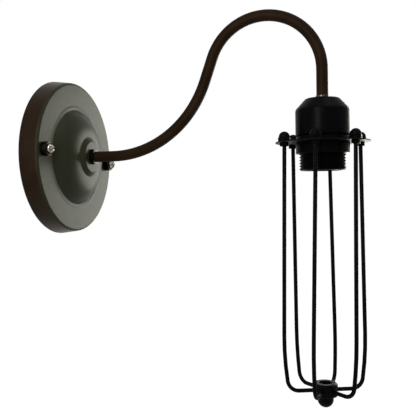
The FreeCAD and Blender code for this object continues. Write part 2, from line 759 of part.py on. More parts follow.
def hub_nut():
    """Round domed nut under the hub."""
    low = hub_bottom - hub_nut_side
    outline = [(0, low), (hub_nut_radius, low), (hub_nut_radius, hub_bottom - hub_nut_chamfer),
               (hub_nut_radius - hub_nut_chamfer, hub_bottom), (0, hub_bottom)]
    dome = Part.makeSphere(hub_nut_radius, V(0, 0, low), V(0, 0, 1), -90, 0, 360)
    nut = turned_about_z(outline, sharp(outline)).fuse(dome).removeSplitter()
    blind = cylinder(hub_screw_radius + thread_gap, hub_screw_in_nut + face_gap,
                     V(0, 0, hub_bottom), V(0, 0, -1))
    return on_lamp_axis(nut.cut(blind))


# ---- wires and terminal block --------------------------------------------------------------------
def arm_lead():
    """Sheathed lead, whole: from behind the plate, round into the tube, along the arm, into the cap."""
    inlet = [Part.LineSegment(V(0, -lead_depth, lead_end_height), V(0, -lead_depth, lead_bend)).toShape()]
    slant = lead_bend * (1 - math.sin(math.pi / 4))
    halfway = V(0, -lead_depth - slant, slant)
    inside = V(0, -lead_depth - lead_bend, 0)
    inlet.append(Part.Arc(V(0, -lead_depth, lead_bend), halfway, inside).toShape())
    edges = inlet + arm_edges(lead_depth + lead_bend, tube_end - lead_below_tube)
    return tube_along(edges, lead_radius)


def hung_point(x, y, z):
    """Place of a point of the wall plate set once the set is turned about the arm."""
    turn = math.radians(plate_turn)
    return V(x * math.cos(turn) + z * math.sin(turn), y, z * math.cos(turn) - x * math.sin(turn))


def plate_cores():
    """Two cores from the sheath's end up into the terminal block."""
    pair = []
    for side, way in zip((-1, 1), block_places()):
        points = [V(side * core_spread, -lead_depth, lead_end_height),
                  V(side * core_spread, -lead_depth, lead_end_height + core_straight),
                  hung_point(way, -block_middle, block_bottom - core_straight),
                  hung_point(way, -block_middle, block_bottom + core_in_terminal)]
        pair.append(tube_along(rounded_path(points, [core_bend, core_bend]), core_radius))
    return Part.makeCompound(pair)


def earth_core():
    """Earth core from the block's last way down to the lug on the strap."""
    lug_end = earth_screw_place - lug_neck - lug_barrel
    way = block_places()[-1]
    height = strap_front + lug_thickness + core_radius + thread_gap
    points = [V(way, -block_middle, block_bottom + core_in_terminal),
              V(way, -block_middle, block_bottom - earth_drop),
              V(way + earth_sidestep, -height, 0),
              V(lug_end + lug_barrel - earth_short, -height, 0)]
    return hung(tube_along(rounded_path(points, [earth_bend, earth_bend]), core_radius))


def lamp_cores():
    """Two cores from the sheath's end in the cap down into the lampholder's terminals."""
    start = tube_end - lead_below_tube
    entry = core_top + terminal_size
    pair = []
    for side in (-1, 1):
        points = [V(side * core_spread, 0, start), V(side * core_spread, 0, start - core_straight),
                  V(side * terminal_place, 0, entry + core_straight),
                  V(side * terminal_place, 0, entry - core_in_terminal)]
        pair.append(on_lamp_axis(tube_along(rounded_path(points, [core_bend, core_bend]), core_radius)))
    return Part.makeCompound(pair)


def block_places():
    return [-block_pitch, 0.0, block_pitch]


def fixing_places():
    """The block's own screws stand between its ways."""
    return [-block_pitch / 2.0, block_pitch / 2.0]


def block_screw_heights():
    middle = block_bottom + block_height / 2.0
    return [middle - block_screw_pitch / 2.0, middle + block_screw_pitch / 2.0]


def terminal_block():
    """Three-way block: through holes for the sleeves, screw holes in front, two fixing holes between."""
    block = Part.makeBox(block_width, block_depth, block_height,
                         V(-block_width / 2.0, -strap_front - block_depth, block_bottom))
    upright = [edge for edge in block.Edges if abs(edge.tangentAt(edge.FirstParameter).z) > 0.99]
    block = block.makeFillet(block_edge, upright)
    for place in block_places():
        block = block.cut(cylinder(sleeve_radius + thread_gap, block_height,
                                   V(place, -block_middle, block_bottom), V(0, 0, 1)))
        for height in block_screw_heights():
            block = block.cut(cylinder(block_screw_radius + thread_gap, block_depth / 2.0,
                                       V(place, -block_middle, height), V(0, -1, 0)))
    for place in fixing_places():
        block = block.cut(cylinder(fixing_radius + thread_gap, block_depth,
                                   V(place, -strap_front, block_bottom + block_height / 2.0), V(0, -1, 0)))
    return hung(block)


def block_fixings():
    """Two screws through the block into the strap's tongue."""
    head = slotted_head(fixing_head_radius, fixing_head_height / 2.0, fixing_head_height,
                        small_slot_width, small_slot_depth)
    length = block_depth + strap_thickness
    screw = head.fuse(cylinder(fixing_radius, length, V(0, 0, -length), V(0, 0, 1))).removeSplitter()
    screws = []
    for place in fixing_places():
        one = outward(screw, strap_front + block_depth)
        one.translate(V(place, 0, block_bottom + block_height / 2.0))
        screws.append(hung(one))
    return Part.makeCompound(screws)


def block_sleeves():
    """Three brass sleeves in the block, each with two tapped holes."""
    sleeves = []
    length = block_height - 2 * sleeve_inset
    for place in block_places():
        base = V(place, -block_middle, block_bottom + sleeve_inset)
        sleeve = cylinder(sleeve_radius, length, base, V(0, 0, 1))
        sleeve = sleeve.cut(cylinder(sleeve_bore, length, base, V(0, 0, 1)))
        for height in block_screw_heights():
            sleeve = sleeve.cut(cylinder(block_screw_radius + thread_gap, sleeve_radius,
                                         V(place, -block_middle, height), V(0, -1, 0)))
        sleeves.append(hung(sleeve))
    return Part.makeCompound(sleeves)


def block_screws():
    """Six small screws whose ends press the cores in the sleeves."""
    screws = []
    start = block_middle + sleeve_bore - block_screw_bite
    length = strap_front + block_depth - block_screw_sink - start
    for place in block_places():
        for height in block_screw_heights():
            screw = cylinder(block_screw_radius, length, V(place, -start, height), V(0, -1, 0))
            slot_corner = V(place - block_screw_radius, -start - length, height - small_slot_width / 2.0)
            slot = Part.makeBox(2 * block_screw_radius, small_slot_depth, small_slot_width, slot_corner)
            screws.append(hung(screw.cut(slot)))
    return Part.makeCompound(screws)


# ---- all pieces ----------------------------------------------------------------------------------
PIECES = {
    "backplate": backplate,
    "wall_strap": wall_strap,
    "screw_collars": screw_collars,
    "side_screws": side_screws,
    "earth_screw": earth_screw,
    "earth_lug": earth_lug,
    "arm_tube": arm_tube,
    "outer_locknut": outer_locknut,
    "inner_washer": inner_washer,
    "inner_locknut": inner_locknut,
    "neck_ring": neck_ring,
    "holder_cap": holder_cap,
    "holder_skirt": holder_skirt,
    "holder_core": holder_core,
    "screw_shell": screw_shell,
    "contact_rivets": contact_rivets,
    "contact_pad": contact_pad,
    "centre_contact": centre_contact,
    "holder_terminals": holder_terminals,
    "holder_terminal_screws": holder_terminal_screws,
    "shade_ring": shade_ring,
    "cage_disc": cage_disc,
    "cage_top_nuts": cage_top_nuts,
    "cage_under_nuts": cage_under_nuts,
    "cage_hub": cage_hub,
    "hub_screw": hub_screw,
    "hub_nut": hub_nut,
    "arm_lead": arm_lead,
    "plate_cores": plate_cores,
    "earth_core": earth_core,
    "lamp_cores": lamp_cores,
    "terminal_block": terminal_block,
    "block_sleeves": block_sleeves,
    "block_screws": block_screws,
    "block_fixings": block_fixings,
}


def build():
    os.makedirs("parts", exist_ok=True)
    shapes = {}
    for name, make in PIECES.items():
        shapes[name] = make()
    for index in range(rod_count):
        shapes["cage_rod_" + str(index + 1)] = cage_rod(index)
    for name, shape in shapes.items():
        if not shape.isValid() or not shape.Solids:
            print("check this piece:", name)
        shape.exportStep("parts/" + name + ".step")
        print(name, "solids", len(shape.Solids), "volume", round(shape.Volume, 1))


build()
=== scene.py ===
# %% [markdown]
# # A cage wall light, built piece by piece
#
# The light has a round pressed wall plate, a gooseneck tube, a threaded lampholder and a long cage of
# bent rods. Its solids come from a CAD frame, in metres, with the wall at Y = 0 and +Z up. Each visible
# piece is modelled again here with rounded edges, real threads and real finishes, in the same place.

# %% Load the frame
import bmesh
import bpy
import math
from mathutils import Matrix, Vector


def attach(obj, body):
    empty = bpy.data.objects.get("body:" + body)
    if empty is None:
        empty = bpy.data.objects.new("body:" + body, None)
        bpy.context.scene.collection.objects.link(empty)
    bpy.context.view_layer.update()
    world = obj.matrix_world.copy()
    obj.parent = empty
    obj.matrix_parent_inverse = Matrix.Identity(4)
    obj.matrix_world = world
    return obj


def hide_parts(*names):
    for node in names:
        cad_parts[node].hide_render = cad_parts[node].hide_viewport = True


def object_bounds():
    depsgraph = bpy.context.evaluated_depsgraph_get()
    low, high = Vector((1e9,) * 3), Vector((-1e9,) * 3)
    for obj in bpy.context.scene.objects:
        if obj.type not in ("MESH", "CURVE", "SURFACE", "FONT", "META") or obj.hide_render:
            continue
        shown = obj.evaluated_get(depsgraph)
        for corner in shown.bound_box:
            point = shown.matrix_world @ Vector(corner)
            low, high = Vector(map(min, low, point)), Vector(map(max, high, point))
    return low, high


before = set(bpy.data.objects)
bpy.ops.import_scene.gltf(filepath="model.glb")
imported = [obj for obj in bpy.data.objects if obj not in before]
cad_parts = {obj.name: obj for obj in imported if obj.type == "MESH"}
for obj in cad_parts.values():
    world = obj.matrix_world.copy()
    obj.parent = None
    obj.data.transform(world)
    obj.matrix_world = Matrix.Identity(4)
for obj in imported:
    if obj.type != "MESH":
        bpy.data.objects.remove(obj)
cad_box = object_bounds()

# %% [markdown]
# ## Sizes
#
# The CAD works in millimetres, so the sizes below are in millimetres too, and one factor turns them
# into Blender's metres. The lamp hangs on an upright axis 250 mm from the wall. The wall plate hangs
# turned a little about the arm, as in the photograph. Pieces are made standing on the Z axis. WALL_AXIS
# lays one down so that it stands out from the wall, and LAMP_AXIS carries one over to the lamp.

# %% Sizes shared by several pieces
MM = 0.001
REACH = 250.0
PLATE_TURN = math.radians(4.5)
WALL_AXIS = Matrix.Rotation(math.radians(90), 4, "X")
LAMP_AXIS = Matrix.Translation((0, -REACH * MM, 0))
ROUND_STEPS = 128
SMALL_STEPS = 48
print("lamp axis at", LAMP_AXIS.translation)

# %% [markdown]
# ## Tools for the shapes
#
# Most pieces of a lamp are turned on a lathe or spun from sheet. Such a shape could be a stack of
# cylinders with bevelled edges, but then each radius depends on what the bevel tool finds. So the main
# tool draws an outline the way a pen would: it pushes one vertex from corner to corner, and where a
# corner has a radius it spins the vertex round the centre of that arc. The finished outline is then
# spun about the Z axis. A corner is written as its radius, its height and the radius of its rounding.

# %% Outlines
ARC_STEP = math.radians(9)
ARC_LENGTH = 1.5 * MM
LEAST_ARC_STEPS = 3
SAME_PLACE = 1e-7
SEAM_GAP = 0.0005 * MM


def bend_of(before, corner, after, radius):
    """First point, centre, axis and angle of the arc that rounds a corner."""
    back = (before - corner).normalized()
    ahead = (after - corner).normalized()
    half = back.angle(ahead) / 2
    first = corner + back * radius / math.tan(half)
    centre = corner + (back + ahead).normalized() * radius / math.sin(half)
    return first, centre, (-back).cross(ahead).normalized(), math.pi - 2 * half


def push_point(bm, vert, to):
    if (to - vert.co).length < SAME_PLACE:
        return vert
    pushed = bmesh.ops.extrude_vert_indiv(bm, verts=[vert])["verts"][0]
    pushed.co = to
    return pushed


def draw_outline(bm, outline, closed=True):
    """Draws corners of (radius, height, rounding) in the XZ plane."""
    points = [Vector((radius, 0, height)) * MM for radius, height, _ in outline]
    first_vert = bm.verts.new(points[0])
    vert = first_vert
    for index in range(1, len(points) if closed else len(points) - 1):
        rounding = outline[index][2] * MM
        if rounding == 0:
            vert = push_point(bm, vert, points[index])
            continue
        following = points[(index + 1) % len(points)]
        first, centre, axis, angle = bend_of(points[index - 1], points[index], following, rounding)
        vert = push_point(bm, vert, first)
        steps = max(LEAST_ARC_STEPS, math.ceil(angle / ARC_STEP), math.ceil(angle * rounding / ARC_LENGTH))
        spun = bmesh.ops.spin(bm, geom=[vert], cent=centre, axis=axis, angle=angle, steps=steps,
                              use_merge=False)
        vert = [item for item in spun["geom_last"] if isinstance(item, bmesh.types.BMVert)][0]
    if closed:
        bm.edges.new((vert, first_vert))
    else:
        push_point(bm, vert, points[-1])


def spin_outline(bm, steps=ROUND_STEPS):
    """Spins the whole outline about Z and closes the seam and the poles."""
    bmesh.ops.spin(bm, geom=bm.verts[:] + bm.edges[:], cent=(0, 0, 0), axis=(0, 0, 1), angle=math.tau,
                   steps=steps, use_merge=True)
    bmesh.ops.remove_doubles(bm, verts=bm.verts, dist=SEAM_GAP)
    bmesh.ops.recalc_face_normals(bm, faces=bm.faces)


def turned(outline, steps=ROUND_STEPS, closed=True):
    bm = bmesh.new()
    draw_outline(bm, outline, closed)
    spin_outline(bm, steps)
    return bm


def domed_corner(radius, side, height):
    """Radius of the corner and of the rounding that make a flat-topped outline a domed one."""
    rise = height - side
    sphere = (radius ** 2 + rise ** 2) / (2 * rise)
    return (sphere - math.sqrt(sphere ** 2 - radius ** 2)) * radius / rise, sphere


print("arcs are divided at least every", round(math.degrees(ARC_STEP)), "degrees")

# %% [markdown]
# ## Finishing a piece
#
# Every piece ends in the same way. Its place goes into its mesh, so the object itself stays at the
# origin. Faces are smooth, but edges sharper than a given angle stay crisp. The piece then rides on a
# body of the frame, so it moves with it, and takes the place of a CAD solid.

# %% Finishing a piece
CRISP_ANGLE = 32


def finish_piece(bm, name, place, material, body, replaced, crisp_angle=CRISP_ANGLE):
    bmesh.ops.transform(bm, matrix=place, verts=bm.verts)
    mesh = bpy.data.meshes.new(name)
    bm.to_mesh(mesh)
    bm.free()
    mesh.shade_smooth()
    mesh.set_sharp_from_angle(angle=math.radians(crisp_angle))
    mesh.materials.append(material)
    piece = bpy.data.objects.new(name, mesh)
    bpy.context.scene.collection.objects.link(piece)
    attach(piece, body)
    if replaced:
        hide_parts(*replaced)
    print(name, len(mesh.polygons), "faces")


def copies(bm, places):
    """Puts what the bmesh holds at each place."""
    source = bm.verts[:] + bm.edges[:] + bm.faces[:]
    for place in places[1:]:
        double = bmesh.ops.duplicate(bm, geom=source)
        verts = [item for item in double["geom"] if isinstance(item, bmesh.types.BMVert)]
        bmesh.ops.transform(bm, matrix=place, verts=verts)
    verts = [item for item in source if isinstance(item, bmesh.types.BMVert)]
    bmesh.ops.transform(bm, matrix=places[0], verts=verts)


print("edges over", CRISP_ANGLE, "degrees stay crisp")

# %% [markdown]
# ## Flats and slots
#
# A hexagon nut is made as in a workshop: a turned blank with bevelled ends is cut flat six times. It
# could be a six-sided cylinder, but the curved line where each flat meets the bevel only comes out
# right when a round blank is cut. A slot in a domed head is a straight cut through a curved face,
# which is what a Boolean does well.

# %% Flats and slots
def cut_flats(bm, across_flats):
    """Cuts six flats on a turned blank that stands on the Z axis."""
    for side in range(6):
        turn = math.radians(60 * side + 30)
        outward = Vector((math.cos(turn), math.sin(turn), 0))
        cut = bmesh.ops.bisect_plane(bm, geom=bm.verts[:] + bm.edges[:] + bm.faces[:], dist=SAME_PLACE,
                                     plane_co=outward * across_flats / 2 * MM, plane_no=outward,
                                     clear_outer=True)
        rim = [item for item in cut["geom_cut"] if isinstance(item, bmesh.types.BMEdge)]
        bmesh.ops.holes_fill(bm, edges=rim)
    bmesh.ops.recalc_face_normals(bm, faces=bm.faces)


def cut_slot(bm, width, depth, top, length):
    """Takes a screwdriver slot out of a head that stands on the Z axis, with a Boolean of a box."""
    mesh = bpy.data.meshes.new("slot_work")
    bm.to_mesh(mesh)
    head = bpy.data.objects.new("slot_work", mesh)
    box = bmesh.new()
    size = Matrix.Diagonal((length * MM, width * MM, 2 * depth * MM, 1))
    bmesh.ops.create_cube(box, size=1, matrix=Matrix.Translation((0, 0, top * MM)) @ size)
    box_mesh = bpy.data.meshes.new("slot_box")
    box.to_mesh(box_mesh)
    box.free()
    cutter = bpy.data.objects.new("slot_box", box_mesh)
    for thing in (head, cutter):
        bpy.context.scene.collection.objects.link(thing)
    modifier = head.modifiers.new("slot", "BOOLEAN")
    modifier.operation = "DIFFERENCE"
    modifier.solver = "EXACT"
    modifier.object = cutter
    cut_head = head.evaluated_get(bpy.context.evaluated_depsgraph_get())
    bm.clear()
    bm.from_mesh(cut_head.to_mesh())
    for thing in (head, cutter):
        bpy.data.objects.remove(thing)


print("a nut's flats lie every", 360 // 6, "degrees")

# %% [markdown]
# ## Threads
#
# Threads are cut, as with a die, out of a barrel that is turned at its full size. The barrel's straight
# side is divided into fine rows, and each vertex moves in by the depth of the groove that a helix makes
# there. The groove has a flat floor and sloping flanks, and fades out over half a turn at both ends. A
# thread rolled in thin sheet is a smooth wave instead. A bump in the material would be cheaper, but
# the serrated edge of this barrel shows against the white behind it.

# %% Threads
FLANK_SLOPE = 1.3
FLOOR_REACH = 1.15
ON_SIDE = 1e-6


def divide_side(bm, radius, low, high, row):
    """Divides the outline's upright edge at a radius into rows, before it is spun."""
    for edge in bm.edges[:]:
        upright = all(abs(vert.co.x - radius * MM) < ON_SIDE for vert in edge.verts)
        heights = sorted(vert.co.z for vert in edge.verts)
        if upright and heights[0] >= (low - 0.01) * MM and heights[1] <= (high + 0.01) * MM:
            rows = round((heights[1] - heights[0]) / (row * MM))
            bmesh.ops.subdivide_edges(bm, edges=[edge], cuts=rows)


def cut_thread(bm, radius, pitch, depth, low, high, rolled=False):
    """Moves the vertices of the side at a radius in by a helical groove."""
    for vert in bm.verts:
        across = math.hypot(vert.co.x, vert.co.y)
        height = vert.co.z / MM
        if abs(across - radius * MM) > ON_SIDE or not low < height < high:
            continue
        turn = (height / pitch - math.atan2(vert.co.y, vert.co.x) / math.tau) % 1
        if rolled:
            groove = 0.5 - 0.5 * math.cos(math.tau * turn)
        else:
            groove = min(1.0, max(0.0, FLOOR_REACH - abs(2 * turn - 1) * FLANK_SLOPE))
        fade = min(1.0, (height - low) / pitch * 2, (high - height) / pitch * 2)
        keep = 1 - depth * MM * groove * fade / across
        vert.co.x *= keep
        vert.co.y *= keep


print("a groove's floor takes", round((FLOOR_REACH - 1) / FLANK_SLOPE, 2), "of the pitch")

# %% [markdown]
# ## Bent tubes and rods
#
# Tubes and rods are bent from straight bar. A curve object with a bevel could draw them, but its
# handles only come near to true arcs. Here a ring of vertices is pushed along straight runs and spun
# round the centre of each bend, just as a bending machine carries the bar round a roller.

# %% Bent tubes and rods
BEND_STEP = math.radians(3)


def push_ring(bm, ring, offset):
    grown = bmesh.ops.extrude_edge_only(bm, edges=ring)["geom"]
    verts = {item for item in grown if isinstance(item, bmesh.types.BMVert)}
    bmesh.ops.translate(bm, verts=list(verts), vec=offset)
    return [item for item in grown if isinstance(item, bmesh.types.BMEdge) and set(item.verts) <= verts]


def run_tube(bm, corners, bend_radii, radius, segments):
    """Sweeps a circle along runs between corners, with an arc at each inner one, and returns its ends."""
    points = [Vector(corner) * MM for corner in corners]
    direction = (points[1] - points[0]).normalized()
    place = Matrix.Translation(points[0]) @ direction.to_track_quat("Z", "Y").to_matrix().to_4x4()
    circle = bmesh.ops.create_circle(bm, segments=segments, radius=radius * MM, matrix=place)["verts"]
    first_ring = list({edge for vert in circle for edge in vert.link_edges})
    ring = first_ring
    here = points[0]
    for index, bend_radius in enumerate(bend_radii, start=1):
        first, centre, axis, angle = bend_of(points[index - 1], points[index], points[index + 1],
                                             bend_radius * MM)
        ring = push_ring(bm, ring, first - here)
        steps = max(2, math.ceil(angle / BEND_STEP))
        spun = bmesh.ops.spin(bm, geom=ring, cent=centre, axis=axis, angle=angle, steps=steps,
                              use_merge=False)
        ring = [item for item in spun["geom_last"] if isinstance(item, bmesh.types.BMEdge)]
        here = Matrix.Rotation(angle, 3, axis) @ (first - centre) + centre
    return first_ring, push_ring(bm, ring, points[-1] - here)


print("bends are divided every", round(math.degrees(BEND_STEP)), "degrees")

# %% [markdown]
# ## Tools for the finishes
#
# Every finish is a small network of nodes. Colours are written as sRGB hex values, as a colour card
# gives them, and one function turns them into the linear values that Blender wants. Patterns read
# Object coordinates, so their scales are real: a noise of scale 1000 has blobs of about 1 mm. A Mix
# node has several sockets of the same name, so its factor and its two colours are given by their
# places, 0, 6 and 7, and its colour comes out at 2.

# %% Nodes and colours
def srgb(code):
    """Linear colour of an sRGB hex code."""
    channels = [int(code[start:start + 2], 16) / 255 for start in (1, 3, 5)]
    linear = [c / 12.92 if c <= 0.04045 else ((c + 0.055) / 1.055) ** 2.4 for c in channels]
    return (*linear, 1.0)


def add_node(tree, kind, inputs=(), **settings):
    """Adds one node. Settings are its own properties, inputs give each socket a value or a link."""
    node = tree.nodes.new(kind)
    for name, value in settings.items():
        setattr(node, name, value)
    for socket, value in dict(inputs).items():
        if isinstance(value, bpy.types.NodeSocket):
            tree.links.new(value, node.inputs[socket])
        else:
            node.inputs[socket].default_value = value
    return node


def new_material(name):
    material = bpy.data.materials.new(name)
    material.use_nodes = True
    material.node_tree.nodes.clear()
    return material, material.node_tree


def per_mm(size):
    """Noise scale whose blobs are about this many millimetres."""
    return 1 / (size * MM)


def close_material(material, tree, shader):
    add_node(tree, "ShaderNodeOutputMaterial", {"Surface": shader.outputs["BSDF"]})
    print("finish", material.name)
    return material


print("a 2 mm pattern has scale", round(per_mm(2)))

# %% [markdown]
# ### Satin enamel
#
# The plate, the arm and the cage are steel under stoving enamel. Sprayed enamel is never quite even:
# it has an orange-peel skin about 1 mm across, clouds of slightly thinner paint over some centimetres,
# and a dust nib every few millimetres. The clouds change colour and roughness a little, and the skin
# and the nibs go into the bump. On the plate the face is painted greener than the rim, and that colour
# blends in over the rounded edge, by depth from the wall. The rim's brown is the bronze paint and also a
# painted warm reflection. The specular level is low, because a white room would otherwise wash out a satin
# black.

# %% Enamel
CLOUD_SIZE, PEEL_SIZE, NIB_SPACING = 22, 1.1, 2.6
RIM_DEPTH, FACE_DEPTH = -0.0140, -0.0166


def enamel(name, dark, light, roughness, gloss, tint, peel, dust, face=None):
    material, tree = new_material(name)
    place = add_node(tree, "ShaderNodeTexCoord").outputs["Object"]
    cloud = add_node(tree, "ShaderNodeTexNoise", {"Vector": place, "Scale": per_mm(CLOUD_SIZE),
                                                  "Detail": 4.0})
    grain = add_node(tree, "ShaderNodeTexNoise", {"Vector": place, "Scale": per_mm(PEEL_SIZE),
                                                  "Detail": 3.0})
    nibs = add_node(tree, "ShaderNodeTexVoronoi", {"Vector": place, "Scale": per_mm(NIB_SPACING)})
    nib = add_node(tree, "ShaderNodeMapRange", {"Value": nibs.outputs["Distance"], "From Min": 0.0,
                                                "From Max": 0.1, "To Min": 1.0, "To Max": 0.0})
    blend = add_node(tree, "ShaderNodeMapRange", {"Value": cloud.outputs["Fac"], "From Min": 0.35,
                                                  "From Max": 0.65})
    colour = add_node(tree, "ShaderNodeMix", {0: blend.outputs["Result"], 6: srgb(dark), 7: srgb(light)},
                      data_type="RGBA")
    # By depth from the wall the plate's face is painted green-black, and its rim keeps the brown, which is
    # partly painted warm reflection.
    if face:
        depth = add_node(tree, "ShaderNodeSeparateXYZ", {"Vector": place})
        front = add_node(tree, "ShaderNodeMapRange", {"Value": depth.outputs["Y"], "From Min": RIM_DEPTH,
                                                      "From Max": FACE_DEPTH})
        colour = add_node(tree, "ShaderNodeMix", {0: front.outputs["Result"], 6: colour.outputs[2],
                                                  7: srgb(face)}, data_type="RGBA")
    rough = add_node(tree, "ShaderNodeMapRange", {"Value": grain.outputs["Fac"], "From Min": 0.3,
                                                  "From Max": 0.7, "To Min": roughness - 0.04,
                                                  "To Max": roughness + 0.05})
    skin = add_node(tree, "ShaderNodeBump", {"Height": grain.outputs["Fac"], "Strength": peel,
                                             "Distance": 0.12 * MM})
    specks = add_node(tree, "ShaderNodeBump", {"Height": nib.outputs["Result"], "Strength": dust,
                                               "Distance": 0.06 * MM, "Normal": skin.outputs["Normal"]})
    shader = add_node(tree, "ShaderNodeBsdfPrincipled", {
        "Base Color": colour.outputs[2], "Roughness": rough.outputs["Result"],
        "Normal": specks.outputs["Normal"], "Specular IOR Level": gloss, "Specular Tint": srgb(tint)})
    return close_material(material, tree, shader)


# The arm: a warm brown black, smooth on its small radius, with one soft highlight along it.
bronze_enamel = enamel("bronze_black_satin_enamel", "#170e07", "#1e140a", 0.42, 0.02, "#fdfff0", 0.05, 0.04)
# The plate: brown at the rim, partly as painted warm reflection, and green-black on the face, with peel
# and nibs that break up the sheen.
plate_enamel = enamel("bronze_black_plate_enamel", "#150c05", "#1e1309", 0.34, 0.06, "#fdfff0", 0.3, 0.25,
                      "#1f2016")
# The cage: a neutral black, so the rods read as dark lines with the faintest shine.
cage_enamel = enamel("black_satin_enamel", "#020202", "#050505", 0.42, 0.025, "#ffffff", 0.02, 0.03)

# %% [markdown]
# ### Moulded phenolic plastic
#
# The lampholder is moulded from black phenolic plastic. It comes out of a polished steel mould, so it
# is smoother than the enamel and gives one clear upright highlight, with faint flow clouds from the
# powder. Real handling scuffs are too fine to show here, so they are drawn 0.6 mm wide.

# %% Phenolic plastic
def phenolic(name, base, flow, roughness):
    material, tree = new_material(name)
    place = add_node(tree, "ShaderNodeTexCoord").outputs["Object"]
    flows = add_node(tree, "ShaderNodeTexNoise", {"Vector": place, "Scale": per_mm(9), "Detail": 5.0,
                                                  "Distortion": 1.2})
    scuffs = add_node(tree, "ShaderNodeTexNoise", {"Vector": place, "Scale": per_mm(0.6), "Detail": 2.0})
    colour = add_node(tree, "ShaderNodeMix", {0: flows.outputs["Fac"], 6: srgb(base), 7: srgb(flow)},
                      data_type="RGBA")
    rough = add_node(tree, "ShaderNodeMapRange", {"Value": flows.outputs["Fac"], "From Min": 0.35,
                                                  "From Max": 0.65, "To Min": roughness - 0.03,
                                                  "To Max": roughness + 0.06})
    bump = add_node(tree, "ShaderNodeBump", {"Height": scuffs.outputs["Fac"], "Strength": 0.06,
                                             "Distance": 0.08 * MM})
    shader = add_node(tree, "ShaderNodeBsdfPrincipled", {
        "Base Color": colour.outputs[2], "Roughness": rough.outputs["Result"],
        "Normal": bump.outputs["Normal"], "Specular IOR Level": 0.02})
    return close_material(material, tree, shader)


# Deep black with a clear highlight: the smoothest and darkest surface of the light.
black_phenolic = phenolic("black_moulded_phenolic", "#020202", "#050506", 0.29)

# %% [markdown]
# ### Turned and plated metals
#
# Screws and rings are turned on a lathe and then plated. Bare metals keep Metallic at 1 and take all
# their colour from the reflection. Plating and handling leave cloudy patches that are a little rougher
# and darker. Real turning marks are some hundredths of a millimetre apart, too fine to show, so the
# fine noise in the bump is drawn 0.35 mm wide.

# %% Metals
def plated_metal(name, bright, dull, roughness, patch=5.0):
    material, tree = new_material(name)
    place = add_node(tree, "ShaderNodeTexCoord").outputs["Object"]
    patches = add_node(tree, "ShaderNodeTexNoise", {"Vector": place, "Scale": per_mm(patch),
                                                    "Detail": 6.0})
    marks = add_node(tree, "ShaderNodeTexNoise", {"Vector": place, "Scale": per_mm(0.35), "Detail": 2.0})
    blend = add_node(tree, "ShaderNodeMapRange", {"Value": patches.outputs["Fac"], "From Min": 0.38,
                                                  "From Max": 0.66})
    colour = add_node(tree, "ShaderNodeMix", {0: blend.outputs["Result"], 6: srgb(bright),
                                              7: srgb(dull)}, data_type="RGBA")
    rough = add_node(tree, "ShaderNodeMapRange", {"Value": patches.outputs["Fac"], "From Min": 0.3,
                                                  "From Max": 0.7, "To Min": roughness - 0.06,
                                                  "To Max": roughness + 0.1})
    bump = add_node(tree, "ShaderNodeBump", {"Height": marks.outputs["Fac"], "Strength": 0.35,
                                             "Distance": 0.03 * MM})
    shader = add_node(tree, "ShaderNodeBsdfPrincipled", {
        "Base Color": colour.outputs[2], "Roughness": rough.outputs["Result"],
        "Normal": bump.outputs["Normal"], "Metallic": 1.0})
    return close_material(material, tree, shader)


# Side screws: a thin, polished nickel wash, whose dark patches are painted reflection of dark surroundings.
nickel_brass = plated_metal("nickelled_brass", "#9c968b", "#15120e", 0.13, patch=2.0)
# Lock ring: nearly black, with small bright spots where it mirrors the lamps.
black_nickel = plated_metal("black_nickel_plate", "#4c4740", "#12100e", 0.20, patch=1.6)
# Collars and front nut: an oiled black with a dull sheen.
black_steel = plated_metal("blackened_steel", "#1b1814", "#0e0d0b", 0.36)
# Small screws and washers: even, cool and fairly bright.
bright_zinc = plated_metal("bright_zinc_plate", "#c9cac6", "#9fa09b", 0.26)
# Wall strap: paler and duller, with the broad clouds of a barrel-plated pressing.
zinc_steel = plated_metal("zinc_plated_steel", "#b6b9b6", "#a4a8a4", 0.38, patch=8.0)
# Contacts and lamp thread: warm yellow, with brown handling patches.
plain_brass = plated_metal("plain_brass", "#cda75c", "#9f7a3c", 0.30, patch=3.0)

# %% [markdown]
# ### Insulators
#
# The insulator in the lampholder is steatite, a white ceramic: matt, faintly warm, with tiny grey
# specks. The terminal block is natural polyamide, which lets a little light in, and the sheath of the
# lead is PVC with a dull skin. The specks of real steatite are finer, and are drawn about 1.4 mm apart.

# %% Ceramic and plastics
def insulator(name, base, speck, roughness, speck_spacing, inside=0.0):
    material, tree = new_material(name)
    place = add_node(tree, "ShaderNodeTexCoord").outputs["Object"]
    specks = add_node(tree, "ShaderNodeTexVoronoi", {"Vector": place, "Scale": per_mm(speck_spacing)})
    near = add_node(tree, "ShaderNodeMapRange", {"Value": specks.outputs["Distance"], "From Min": 0.05,
                                                 "From Max": 0.22, "To Min": 0.6, "To Max": 0.0})
    grain = add_node(tree, "ShaderNodeTexNoise", {"Vector": place, "Scale": per_mm(0.5), "Detail": 3.0})
    colour = add_node(tree, "ShaderNodeMix", {0: near.outputs["Result"], 6: srgb(base), 7: srgb(speck)},
                      data_type="RGBA")
    rough = add_node(tree, "ShaderNodeMapRange", {"Value": grain.outputs["Fac"], "From Min": 0.3,
                                                  "From Max": 0.7, "To Min": roughness - 0.05,
                                                  "To Max": roughness + 0.05})
    bump = add_node(tree, "ShaderNodeBump", {"Height": grain.outputs["Fac"], "Strength": 0.15,
                                             "Distance": 0.05 * MM})
    shader = add_node(tree, "ShaderNodeBsdfPrincipled", {
        "Base Color": colour.outputs[2], "Roughness": rough.outputs["Result"],
        "Normal": bump.outputs["Normal"], "Subsurface Weight": inside, "Subsurface Scale": 1 * MM})
    return close_material(material, tree, shader)


# Insulator of the lampholder: matt warm white.
steatite = insulator("white_steatite", "#dcd6c8", "#a49c8c", 0.55, 1.4)
# Terminal block: milky, because some light goes through its walls.
polyamide = insulator("natural_polyamide", "#dedacd", "#cfcab9", 0.42, 2.5, inside=0.15)
# Sheath of the lead: dull dark grey.
grey_pvc = insulator("dark_grey_pvc", "#1c1c1c", "#252525", 0.52, 1.0)

